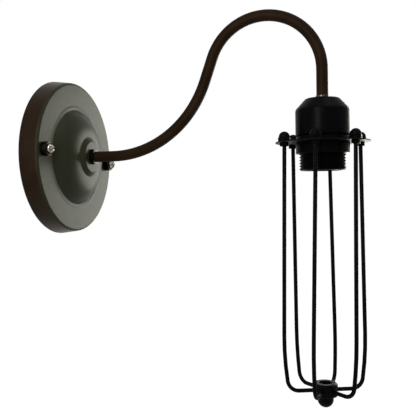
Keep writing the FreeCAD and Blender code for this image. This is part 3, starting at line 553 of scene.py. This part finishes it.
# %% [markdown]
# ### Wires
#
# One CAD piece holds both cores of a lead, so its finish needs two colours, brown and blue. The two
# cores lie side by side, and a plane between them divides the colours. The earth core is green on one
# side and yellow on the other, as its insulation is striped along its length.

# %% Insulation of the wires
def two_sided_pvc(name, low_side, high_side, middle):
    """One colour on the left of an upright plane and another on its right, with a dull skin."""
    material, tree = new_material(name)
    place = add_node(tree, "ShaderNodeTexCoord").outputs["Object"]
    split = add_node(tree, "ShaderNodeSeparateXYZ", {"Vector": place})
    side = add_node(tree, "ShaderNodeMath", {0: split.outputs["X"], 1: middle}, operation="GREATER_THAN")
    grain = add_node(tree, "ShaderNodeTexNoise", {"Vector": place, "Scale": per_mm(0.6), "Detail": 2.0})
    colour = add_node(tree, "ShaderNodeMix", {0: side.outputs["Value"], 6: srgb(low_side),
                                              7: srgb(high_side)}, data_type="RGBA")
    bump = add_node(tree, "ShaderNodeBump", {"Height": grain.outputs["Fac"], "Strength": 0.1,
                                             "Distance": 0.04 * MM})
    shader = add_node(tree, "ShaderNodeBsdfPrincipled", {
        "Base Color": colour.outputs[2], "Roughness": 0.45, "Normal": bump.outputs["Normal"]})
    return close_material(material, tree, shader)


# Live and neutral cores: brown and blue.
core_pvc = two_sided_pvc("brown_and_blue_pvc", "#4a2a17", "#1d3f78", 0.0)
# Earth core: green and yellow.
earth_pvc = two_sided_pvc("green_and_yellow_pvc", "#2f7a33", "#c9b02a", 0.0162)

# %% [markdown]
# ## Wall plate
#
# The plate is one disc of 1.2 mm steel sheet, pressed into a tall rim that leans in a little, a flat
# ring, a thin raised ridge, a dome that is steep at its foot, and a flat boss that the nut pulls
# against. Its outer face is drawn as one open outline, in that order, and spun. Solidify then gives it
# the sheet's thickness inwards, so every bend has the same wall as real sheet. Its edge is set flat on
# the wall, because Solidify tilts the edge of a leaning side.

# %% Wall plate
PLATE_RADIUS, FACE_RADIUS = 72.5, 70.2
PLATE_DEPTH, RIDGE_TOP, BOSS_FACE = 17.0, 17.3, 33.0
DOME_FOOT, BOSS_RADIUS = 44.8, 14.4
SHEET = 1.2


def hung_at(along, depth):
    """Place on the wall plate, which hangs turned a little about the arm."""
    turn = Matrix.Rotation(PLATE_TURN, 4, "Y")
    return turn @ Matrix.Translation((along * MM, -depth * MM, 0)) @ WALL_AXIS


bm = turned([(PLATE_RADIUS, 0, 0), (FACE_RADIUS, PLATE_DEPTH, 2.5),
             (49.2, PLATE_DEPTH, 4.0), (47.2, RIDGE_TOP, 2.0), (46.3, RIDGE_TOP, 1.0),
             (45.5, PLATE_DEPTH, 0.5), (DOME_FOOT, PLATE_DEPTH, 0.2), (34.6, 29.36, 33.9),
             (18.6, 29.5, 0.5), (BOSS_RADIUS, BOSS_FACE, 1.0), (5.2, BOSS_FACE, 0)], closed=False)
if sum(face.normal.z * face.calc_area() for face in bm.faces) < 0:
    bmesh.ops.reverse_faces(bm, faces=bm.faces)
bmesh.ops.solidify(bm, geom=bm.faces[:], thickness=SHEET * MM)
heights = [vert.co.z / MM for vert in bm.verts]
print("plate from", round(min(heights), 2), "to", round(max(heights), 2), "mm off the wall")
for vert in bm.verts:
    vert.co.z = max(vert.co.z, 0.0)
finish_piece(bm, "wall_plate", Matrix.Rotation(PLATE_TURN, 4, "Y") @ WALL_AXIS, plate_enamel, "fixture",
             ["backplate"])

# %% [markdown]
# ## Collars and side screws
#
# Two screws hold the plate on its wall strap. Each has a black turned collar under a round slotted
# head. The head's dome is one arc from its side to its top. A sphere cut by a plane would do too, but
# the outline gives the small rounding at the edge in the same go.

# %% Collars and side screws
SCREW_PLACE = 60.0
COLLAR_BORE, COLLAR_RADIUS, COLLAR_LENGTH = 2.2, 6.3, 5.6
SLOT_TURNS = (35, 70)
SCREW_PITCH, SCREW_THREAD_DEPTH = 0.7, 0.35
FINE_ROW = 0.12

bm = turned([(COLLAR_BORE, 0, 0), (COLLAR_RADIUS, 0, 0.2), (COLLAR_RADIUS, COLLAR_LENGTH, 0.7),
             (COLLAR_BORE, COLLAR_LENGTH, 0)], SMALL_STEPS)
copies(bm, [hung_at(side, PLATE_DEPTH) for side in (-SCREW_PLACE, SCREW_PLACE)])
finish_piece(bm, "collars", Matrix(), black_steel, "fixture", ["screw_collars"])


def slotted_screw(radius, side, height, slot_width, slot_depth, shank, length, thread_from):
    """Domed slotted head on the XY plane with its threaded shank below."""
    corner, sphere = domed_corner(radius, side, height)
    bm = bmesh.new()
    draw_outline(bm, [(0, -length, 0), (shank, -length, 0.25), (shank, 0, 0), (radius, 0, 0.15),
                      (radius, side, 0.1), (corner, height, sphere * 0.97), (0, height, 0)], closed=False)
    divide_side(bm, shank, -length, 0, FINE_ROW)
    spin_outline(bm, SMALL_STEPS)
    cut_thread(bm, shank, SCREW_PITCH, SCREW_THREAD_DEPTH, -length + 0.3, -thread_from)
    cut_slot(bm, slot_width, slot_depth, height, 3 * radius)
    return bm


bm = slotted_screw(radius=4.7, side=1.2, height=4.4, slot_width=1.3, slot_depth=2.2, shank=2.0,
                   length=19.0, thread_from=7.0)
copies(bm, [hung_at(side, PLATE_DEPTH + COLLAR_LENGTH) @ Matrix.Rotation(math.radians(turn), 4, "Z")
            for side, turn in zip((-SCREW_PLACE, SCREW_PLACE), SLOT_TURNS)])
finish_piece(bm, "side_screws_domed", Matrix(), nickel_brass, "fixture", ["side_screws"])

# %% [markdown]
# ## Arm
#
# The arm is a steel tube, 10 mm across with a 1 mm wall. It leaves the boss straight, bends up, climbs,
# goes over the top in a tight gooseneck and drops to the lampholder. Its corners are where the straight
# runs would meet, and the two bends are worked out so that the tube reaches the lamp's axis and the
# right height. The outside and the bore are two sweeps, joined at both ends.

# %% Arm tube
RISE = math.radians(70.35)
CREST_HEIGHT = 117.6
FOOT_RUN = 55.0
CLIMB = 21.8
TUBE_RADIUS, TUBE_BORE = 5.0, 4.0
TUBE_START, TUBE_END = 27.0, 35.8
BENDS = (CREST_HEIGHT - CLIMB * math.sin(RISE)) / (1 - math.cos(RISE))
CREST_BEND = REACH - FOOT_RUN - BENDS * math.sin(RISE) - CLIMB * math.cos(RISE)
FOOT_BEND = BENDS - CREST_BEND

foot_corner = FOOT_RUN + FOOT_BEND * math.tan(RISE / 2)
peak = (REACH - foot_corner) * math.tan(RISE)
ARM_CORNERS = [(0, -TUBE_START, 0), (0, -foot_corner, 0), (0, -REACH, peak), (0, -REACH, TUBE_END)]
print("bends", round(FOOT_BEND, 1), round(CREST_BEND, 1), "mm")

bm = bmesh.new()
outer_ends = run_tube(bm, ARM_CORNERS, [FOOT_BEND, CREST_BEND], TUBE_RADIUS, segments=56)
inner_ends = run_tube(bm, ARM_CORNERS, [FOOT_BEND, CREST_BEND], TUBE_BORE, segments=56)
for outer, inner in zip(outer_ends, inner_ends):
    bmesh.ops.bridge_loops(bm, edges=outer + inner)
bmesh.ops.recalc_face_normals(bm, faces=bm.faces)

# %% [markdown]
# The tube's end behind the plate is threaded for the back nut. Only its last few millimetres show, so
# they are a short turned sleeve of their own with a cut thread, set over the end of the tube.

# %% Thread on the arm's end
THREAD_START, THREAD_END = 23.5, 27.2
TUBE_PITCH, TUBE_THREAD_DEPTH = 1.0, 0.45

threaded = bmesh.new()
draw_outline(threaded, [(TUBE_BORE, THREAD_START, 0), (TUBE_RADIUS, THREAD_START, 0.3),
                        (TUBE_RADIUS, THREAD_END, 0), (TUBE_BORE, THREAD_END, 0)])
divide_side(threaded, TUBE_RADIUS, THREAD_START, THREAD_END, FINE_ROW)
spin_outline(threaded, steps=72)
cut_thread(threaded, TUBE_RADIUS, TUBE_PITCH, TUBE_THREAD_DEPTH, 23.6, 27.6)
finish_piece(threaded, "arm_thread", WALL_AXIS, black_steel, "fixture", ())
finish_piece(bm, "arm", Matrix(), bronze_enamel, "fixture", ["arm_tube"])

# %% [markdown]
# ## Locknuts and washer
#
# One nut in front of the boss and one behind it, with a washer, clamp the arm to the plate. The front
# nut is blackened, and the hidden parts are plain bright zinc.

# %% Locknuts and washer
NUT_FLATS, NUT_HEIGHT, NUT_BORE = 14.0, 3.5, 5.05
BEVEL_SLOPE = 0.6
BACK_NUT_PLACE, WASHER_PLACE = 27.3, 30.8


def hex_nut(across_flats, height, bore, steps=96):
    """Nut on the XY plane: a turned blank with bevelled ends, cut flat six times."""
    corner = across_flats / math.sqrt(3)
    bevel = (corner - across_flats / 2) * BEVEL_SLOPE
    bm = turned([(bore, 0, 0), (across_flats / 2, 0, 0.15), (corner, bevel, 0.15),
                 (corner, height - bevel, 0.15), (across_flats / 2, height, 0.15), (bore, height, 0)],
                steps)
    cut_flats(bm, across_flats)
    return bm


bm = hex_nut(NUT_FLATS, NUT_HEIGHT, NUT_BORE)
finish_piece(bm, "front_locknut", Matrix.Translation((0, -BOSS_FACE * MM, 0)) @ WALL_AXIS, black_steel,
             "fixture", ["outer_locknut"])
bm = hex_nut(NUT_FLATS, NUT_HEIGHT, NUT_BORE)
finish_piece(bm, "back_locknut", Matrix.Translation((0, -BACK_NUT_PLACE * MM, 0)) @ WALL_AXIS,
             bright_zinc, "fixture", ["inner_locknut"])
bm = turned([(5.2, 0, 0), (8.6, 0, 0.15), (8.6, 1.0, 0.3), (5.2, 1.0, 0)], steps=72)
finish_piece(bm, "back_washer", Matrix.Translation((0, -WASHER_PLACE * MM, 0)) @ WALL_AXIS, bright_zinc,
             "fixture", ["inner_washer"])

# %% [markdown]
# ## Lock ring and cap of the lampholder
#
# The cap and the skirt are two mouldings that screw together. The cap has a sloped shoulder, a rounded
# foot, and a boss inside that the arm screws into, locked by a small dark ring on top. The whole wall
# is one closed outline, inside and outside, because then its thickness can be seen and set.

# %% Lock ring and cap
CAP_TOP = 42.8
CAP_WALL = 2.1
CAP_RADIUS = 23.05
CAP_INSIDE = CAP_RADIUS - CAP_WALL
CAP_FOOT = 10.6
CAP_SHOULDER = 33.3
CAP_ROOF = CAP_TOP - CAP_WALL
SLOPE_IN = CAP_WALL * math.tan(math.radians(22.5))
NECK_BORE = 5.05
RING_TOP = 45.4

bm = turned([(NECK_BORE, CAP_TOP, 0), (5.7, CAP_TOP, 0.3), (5.7, RING_TOP, 0.5), (NECK_BORE, RING_TOP, 0)],
            steps=72)
finish_piece(bm, "neck_lock_ring", LAMP_AXIS, black_nickel, "fixture", ["neck_ring"])

bm = turned([(NECK_BORE, CAP_TOP, 0), (14.3, CAP_TOP, 3.0), (CAP_RADIUS, CAP_SHOULDER, 4.0),
             (CAP_RADIUS, CAP_FOOT, 1.9), (CAP_INSIDE, CAP_FOOT, 0.3), (CAP_INSIDE, 16.0, 0),
             (17.2, 16.0, 0.3), (17.2, 17.6, 0.3), (CAP_INSIDE, 19.2, 0),
             (CAP_INSIDE, CAP_SHOULDER - SLOPE_IN, 1.5), (14.3 - SLOPE_IN, CAP_ROOF, 1.5),
             (8.0, CAP_ROOF, 0.5), (8.0, 33.8, 0.4), (NECK_BORE, 33.8, 0.2)])
finish_piece(bm, "lampholder_cap", LAMP_AXIS, black_phenolic, "fixture", ["holder_cap"])

# %% [markdown]
# ## Skirt of the lampholder
#
# The skirt has a flange that rests on the cage's disc, an upstand inside the cap and, below the flange,
# a barrel with a 40 mm outside thread of 2.5 mm pitch for the shade ring. Its crests stay crisp at a
# wider angle than on other pieces, so the moulded thread looks a little soft.

# %% Skirt with its barrel thread
BARREL = 20.0
MOUTH = -18.3
FLANGE_FOOT = 6.5
BARREL_PITCH, BARREL_THREAD_DEPTH, BARREL_ROW = 2.5, 1.2, 0.2

bm = bmesh.new()
draw_outline(bm, [(16.4, MOUTH, 0), (18.6, MOUTH, 0.3), (BARREL, -17.2, 0.2), (BARREL, FLANGE_FOOT, 0),
                  (22.6, FLANGE_FOOT, 0.4), (22.6, CAP_FOOT, 0.4), (20.85, CAP_FOOT, 0),
                  (20.85, 15.0, 0.3), (18.45, 15.0, 0.3), (18.45, 10.0, 0), (16.4, 10.0, 0)])
divide_side(bm, BARREL, -17.3, FLANGE_FOOT, BARREL_ROW)
spin_outline(bm, steps=144)
cut_thread(bm, BARREL, BARREL_PITCH, BARREL_THREAD_DEPTH, -17.9, 6.0)
finish_piece(bm, "lampholder_skirt", LAMP_AXIS, black_phenolic, "fixture", ["holder_skirt"],
             crisp_angle=50)

# %% [markdown]
# ## Lamp thread sleeve
#
# The sleeve that takes the lamp's cap is rolled from brass sheet 0.4 mm thick, so its thread is a
# smooth wave seen from both sides. The wall gets its thickness after the wave is made, so both sides
# follow it, and its top edge turns in under the insulator.

# %% Lamp thread sleeve
SLEEVE = 13.8
SLEEVE_MOUTH, SLEEVE_TOP = -15.0, 6.0
LAMP_PITCH, LAMP_WAVE_DEPTH, LAMP_ROW = 3.629, 1.1, 0.3
SLEEVE_SHEET = 0.4

bm = bmesh.new()
draw_outline(bm, [(SLEEVE, SLEEVE_MOUTH, 0), (SLEEVE, SLEEVE_TOP, 0.6), (9.0, SLEEVE_TOP, 0)],
             closed=False)
divide_side(bm, SLEEVE, SLEEVE_MOUTH, SLEEVE_TOP, LAMP_ROW)
spin_outline(bm, steps=96)
cut_thread(bm, SLEEVE, LAMP_PITCH, LAMP_WAVE_DEPTH, SLEEVE_MOUTH, 4.6, rolled=True)
if sum(face.normal.xy.dot(face.calc_center_median().xy) for face in bm.faces) < 0:
    bmesh.ops.reverse_faces(bm, faces=bm.faces)
bmesh.ops.solidify(bm, geom=bm.faces[:], thickness=SLEEVE_SHEET * MM)
finish_piece(bm, "lamp_thread_sleeve", LAMP_AXIS, plain_brass, "fixture", ["screw_shell"])

# %% [markdown]
# ## Shade ring and cage disc
#
# The shade ring runs up the barrel thread and clamps the cage's thin disc against the flange. The ring
# rides on a body of its own, because it turns as it sinks, and the disc rides with the cage.

# %% Shade ring and disc
RING_BORE, RING_RADIUS = 20.08, 22.9
RING_LOW, RING_HIGH = -3.9, 5.3
DISC_BORE, DISC_RADIUS = 20.3, 40.2
DISC_LOW, DISC_HIGH = 5.4, 6.4

bm = turned([(RING_BORE, RING_LOW, 0), (RING_RADIUS, RING_LOW, 0.7), (RING_RADIUS, RING_HIGH, 0.4),
             (RING_BORE, RING_HIGH, 0.2)], steps=144)
finish_piece(bm, "clamping_ring", LAMP_AXIS, black_phenolic, "ring", ["shade_ring"])

bm = turned([(DISC_BORE, DISC_LOW, 0), (DISC_RADIUS, DISC_LOW, 0.25), (DISC_RADIUS, DISC_HIGH, 0.35),
             (DISC_BORE, DISC_HIGH, 0)], steps=144)
finish_piece(bm, "cage_plate", LAMP_AXIS, cage_enamel, "cage", ["cage_disc"])

# %% [markdown]
# ## Cage rods
#
# Six steel rods, 3.5 mm thick, go up through the disc. Each leans a little, because the cage is
# twisted by 5.6 degrees, runs down in one long bow, and turns sharply into the side of the hub. The bar
# is swept along its corners in the same way as the arm, and one loop makes all six, each a turn of 60
# degrees further on.

# %% Cage rods
ROD_ANGLES = [57.1 + 60 * index for index in range(6)]
TWIST = -5.6
ROD_RADIUS = 1.75
ROD_CIRCLE, LOW_CIRCLE = 34.0, 35.5
ROD_TOP, KINK_HEIGHT = 11.4, 1.4
ROD_LEVEL, BOW_HEIGHT = -206.2, 28.2
ROD_END = 6.6
ROD_BENDS = [60.0, 255.0, 10.0]
LEAN_IN = BOW_HEIGHT * math.tan(math.radians(8))


def around_axis(radius, turn, height):
    return radius * math.cos(math.radians(turn)), -REACH + radius * math.sin(math.radians(turn)), height


for number, angle in enumerate(ROD_ANGLES, start=1):
    low_angle = angle + TWIST
    corners = [around_axis(ROD_CIRCLE, angle, ROD_TOP), around_axis(ROD_CIRCLE, angle, KINK_HEIGHT),
               around_axis(LOW_CIRCLE, low_angle, ROD_LEVEL + BOW_HEIGHT),
               around_axis(LOW_CIRCLE - LEAN_IN, low_angle, ROD_LEVEL),
               around_axis(ROD_END, low_angle, ROD_LEVEL)]
    bm = bmesh.new()
    for end in run_tube(bm, corners, ROD_BENDS, ROD_RADIUS, segments=28):
        bmesh.ops.holes_fill(bm, edges=end)
    bmesh.ops.recalc_face_normals(bm, faces=bm.faces)
    finish_piece(bm, f"rod_{number}", Matrix(), cage_enamel, "cage", [f"cage_rod_{number}"])

# %% [markdown]
# ## Cap nuts and clamping nuts
#
# Each rod ends in a domed cap nut on the disc, and a small plain nut clamps it from below. The blank of
# the cap nut is a hexagon base with a ball-shaped crown. The flats are cut last, and because the crown
# is narrower than the flats it stays round.

# %% Cap nuts and clamping nuts
CAP_FLATS = 9.6
CAP_CORNER = CAP_FLATS / math.sqrt(3)
CROWN = 4.7
CROWN_TOP = 8.44
UNDER_FLATS, UNDER_HEIGHT, UNDER_BORE = 7.0, 3.0, 1.8


def disc_places(height):
    places = []
    for turn in ROD_ANGLES:
        x, y, z = around_axis(ROD_CIRCLE, turn, height)
        places.append(Matrix.Translation((x * MM, y * MM, z * MM))
                      @ Matrix.Rotation(math.radians(turn), 4, "Z"))
    return places


bm = turned([(0, 0, 0), (CAP_CORNER, 0, 0.15), (CAP_CORNER, 3.1, 0.2), (CROWN, 3.7, 0.2),
             (CROWN, CROWN_TOP, 4.6), (0, CROWN_TOP, 0)], steps=60, closed=False)
cut_flats(bm, CAP_FLATS)
copies(bm, disc_places(DISC_HIGH))
finish_piece(bm, "cap_nuts", Matrix(), cage_enamel, "cage", ["cage_top_nuts"])

bm = hex_nut(UNDER_FLATS, UNDER_HEIGHT, UNDER_BORE, SMALL_STEPS)
copies(bm, disc_places(DISC_LOW - UNDER_HEIGHT))
finish_piece(bm, "clamping_nuts", Matrix(), cage_enamel, "cage", ["cage_under_nuts"])

# %% [markdown]
# ## Hub
#
# The hub is a turned slug with a sunk top. The rods enter it from the side, and a slotted screw from
# above holds the round domed nut underneath. All three are outlines on the lamp's axis.

# %% Hub, its screw and its domed nut
HUB_TOP, HUB_FOOT, HUB_SEAT = -200.0, -211.0, -205.5
HUB_BORE, HUB_RADIUS = 2.55, 10.5
DOME_RADIUS, DOME_END = 6.9, -221.3

bm = turned([(HUB_BORE, HUB_SEAT, 0), (4.6, HUB_SEAT, 0.3), (5.4, HUB_TOP, 0.4), (HUB_RADIUS, HUB_TOP, 2.0),
             (HUB_RADIUS, HUB_FOOT, 0.8), (HUB_BORE, HUB_FOOT, 0)], steps=96)
finish_piece(bm, "hub", LAMP_AXIS, cage_enamel, "cage", ["cage_hub"])

bm = slotted_screw(radius=4.2, side=1.3, height=2.6, slot_width=1.2, slot_depth=1.2, shank=2.5,
                   length=12.5, thread_from=5.0)
finish_piece(bm, "hub_slotted_screw", LAMP_AXIS @ Matrix.Translation((0, 0, HUB_SEAT * MM)), black_steel,
             "cage", ["hub_screw"])

bm = turned([(0, DOME_END, 0), (DOME_RADIUS, DOME_END, 6.88), (DOME_RADIUS, HUB_FOOT, 0.8),
             (HUB_BORE, HUB_FOOT, 0)], steps=72, closed=False)
finish_piece(bm, "hub_domed_nut", LAMP_AXIS, cage_enamel, "cage", ["hub_nut"])

# %% [markdown]
# ## Pieces that keep their CAD shape
#
# The wall strap, the terminal block, the wires and the lampholder's inner parts already have their real
# shape in the CAD. Modelling them again would add nothing to see, so they only get real finishes.

# %% Finishes of the kept pieces
KEPT = {
    "wall_strap": zinc_steel, "earth_screw": plain_brass, "earth_lug": bright_zinc,
    "terminal_block": polyamide, "block_sleeves": plain_brass, "block_screws": bright_zinc,
    "block_fixings": bright_zinc, "arm_lead": grey_pvc, "plate_cores": core_pvc, "lamp_cores": core_pvc,
    "earth_core": earth_pvc, "holder_core": steatite, "contact_rivets": plain_brass,
    "contact_pad": plain_brass, "centre_contact": plain_brass, "holder_terminals": plain_brass,
    "holder_terminal_screws": bright_zinc,
}
for node, material in KEPT.items():
    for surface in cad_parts[node].material_slots:
        surface.material = material
print(len(KEPT), "CAD pieces dressed")

# %% [markdown]
# ## Floor
#
# A catalogue lamp stands in front of white with soft light all round. The floor is pale and well below
# the cage. It could be painted pure white, but then it would throw too much light up at the lamp. So
# its paint is pale grey, and it adds a little white of its own where the camera, a reflection or glass
# sees it. That takes it to white where nothing shades it and still leaves it the object's shadow.

# %% Floor
FLOOR_DROP = 0.7
FLOOR_SIZE = 6.0
FLOOR_LIFT = 0.6


def seen_directly(tree):
    """1 for what the camera, a reflection or glass sees, and 0 for light on its way to a surface."""
    rays = add_node(tree, "ShaderNodeLightPath")
    seen = add_node(tree, "ShaderNodeMath", {0: rays.outputs["Is Camera Ray"],
                                             1: rays.outputs["Is Glossy Ray"]}, operation="ADD")
    seen = add_node(tree, "ShaderNodeMath", {0: seen.outputs["Value"],
                                             1: rays.outputs["Is Transmission Ray"]},
                    operation="ADD", use_clamp=True)
    return seen.outputs["Value"]


floor_finish, tree = new_material("pale_floor")
paper = add_node(tree, "ShaderNodeBsdfDiffuse", {"Color": srgb("#e6e6e6")})
lift = add_node(tree, "ShaderNodeMath", {0: seen_directly(tree), 1: FLOOR_LIFT}, operation="MULTIPLY")
glow = add_node(tree, "ShaderNodeEmission", {"Color": srgb("#ffffff"), "Strength": lift.outputs["Value"]})
both = add_node(tree, "ShaderNodeAddShader", {0: paper.outputs["BSDF"], 1: glow.outputs["Emission"]})
add_node(tree, "ShaderNodeOutputMaterial", {"Surface": both.outputs["Shader"]})

bm = bmesh.new()
bmesh.ops.create_grid(bm, x_segments=1, y_segments=1, size=FLOOR_SIZE)
bmesh.ops.translate(bm, verts=bm.verts, vec=(0, 0, cad_box[0][2] - FLOOR_DROP))
floor_mesh = bpy.data.meshes.new("floor")
bm.to_mesh(floor_mesh)
bm.free()
floor_mesh.materials.append(floor_finish)
floor = bpy.data.objects.new("floor", floor_mesh)
bpy.context.scene.collection.objects.link(floor)
print("floor at", round(cad_box[0][2] - FLOOR_DROP, 3))

# %% [markdown]
# ## Sky
#
# To the camera, to reflections and through glass the sky is plain white, which a strength of 1 gives.
# To everything else it is a dome of about half that strength, so the lamps do most of the lighting and
# dark finishes stay dark.

# %% Sky
SKY_LIGHT, SKY_SEEN = 0.55, 1.0

world = bpy.data.worlds.new("studio")
world.use_nodes = True
tree = world.node_tree
tree.nodes.clear()
level = add_node(tree, "ShaderNodeMapRange", {"Value": seen_directly(tree), "To Min": SKY_LIGHT,
                                              "To Max": SKY_SEEN})
sky = add_node(tree, "ShaderNodeBackground", {"Color": srgb("#ffffff"),
                                              "Strength": level.outputs["Result"]})
add_node(tree, "ShaderNodeOutputWorld", {"Surface": sky.outputs["Background"]})
bpy.context.scene.world = world
bpy.context.scene.view_settings.view_transform = "Standard"
print("sky is white to the camera")

# %% [markdown]
# ## Softboxes
#
# Satin black shows its shape only by what it mirrors, so each lamp is placed by its reflection. One
# softbox stands where the plate's flat face mirrors it to the camera, and is a little yellow. A narrow
# one gives the lampholder its upright highlight, and a third lights everything softly from above. A
# lamp's power is worked out from how bright it should look, so its size can change on its own.

# %% Softboxes
def softbox(name, middle, target, width, height, radiance, colour="#ffffff"):
    """Area lamp that shines evenly at this radiance towards a point."""
    lamp = bpy.data.lights.new(name, "AREA")
    lamp.shape = "RECTANGLE"
    lamp.size = width
    lamp.size_y = height
    lamp.energy = radiance * math.pi * width * height
    lamp.color = srgb(colour)[:3]
    thing = bpy.data.objects.new(name, lamp)
    thing.location = middle
    thing.rotation_euler = (Vector(target) - Vector(middle)).to_track_quat("-Z", "Y").to_euler()
    bpy.context.scene.collection.objects.link(thing)
    print(name, round(lamp.energy, 1), "W")


PLATE_MIDDLE = Vector((0, -PLATE_DEPTH * MM, 0))
MIRROR_WAY = Vector((0.86, -0.51, -0.01))
PLATE_LAMP_FAR = 0.75
softbox("softbox_plate", PLATE_MIDDLE + MIRROR_WAY * PLATE_LAMP_FAR, PLATE_MIDDLE, width=0.5, height=0.5,
        radiance=7.0, colour="#fffff2")
softbox("softbox_holder", (-0.533, -0.121, 0.15), (0, -0.25, 0), width=0.16, height=0.6, radiance=11.0)
softbox("softbox_top", (-0.2, -0.7, 1.3), (0, -0.15, 0), width=0.9, height=0.9, radiance=1.6)

# %% [markdown]
# ## Camera
#
# The camera's place and turn were found from the photograph: the plate's ellipse, the arm's line and
# the cage's rods only fit one viewpoint, a little to the left of the lamp and level with its middle.
# The focal length was found in pixels of the photograph's frame, and the sensor's width turns it into
# millimetres.

# %% Camera
CAMERA_PLACE = Vector((-542.15, -313.62, -35.17)) * MM
YAW, PITCH, ROLL = (math.radians(turn) for turn in (-72.91, -1.44, -0.886))
FOCAL_PIXELS = 630.0
IMAGE_PIXELS = 416.0
SENSOR_WIDTH = 36.0
NEAREST = 0.01

camera_data = bpy.data.cameras.new("camera")
camera_data.sensor_width = SENSOR_WIDTH
camera_data.lens = FOCAL_PIXELS / IMAGE_PIXELS * SENSOR_WIDTH
camera_data.clip_start = NEAREST
camera = bpy.data.objects.new("camera", camera_data)
level_view = Matrix.Rotation(YAW, 4, "Z") @ Matrix.Rotation(math.radians(90) + PITCH, 4, "X")
camera.matrix_world = Matrix.Translation(CAMERA_PLACE) @ level_view @ Matrix.Rotation(ROLL, 4, "Z")
bpy.context.scene.collection.objects.link(camera)
bpy.context.scene.camera = camera
print("lens", round(camera_data.lens, 1), "mm")

# %% [markdown]
# ## The CAD model's box
#
# The box that the CAD model fills is printed in millimetres.

# %% Box of the CAD model
print("CAD box", [[round(value / MM, 1) for value in corner] for corner in cad_box])
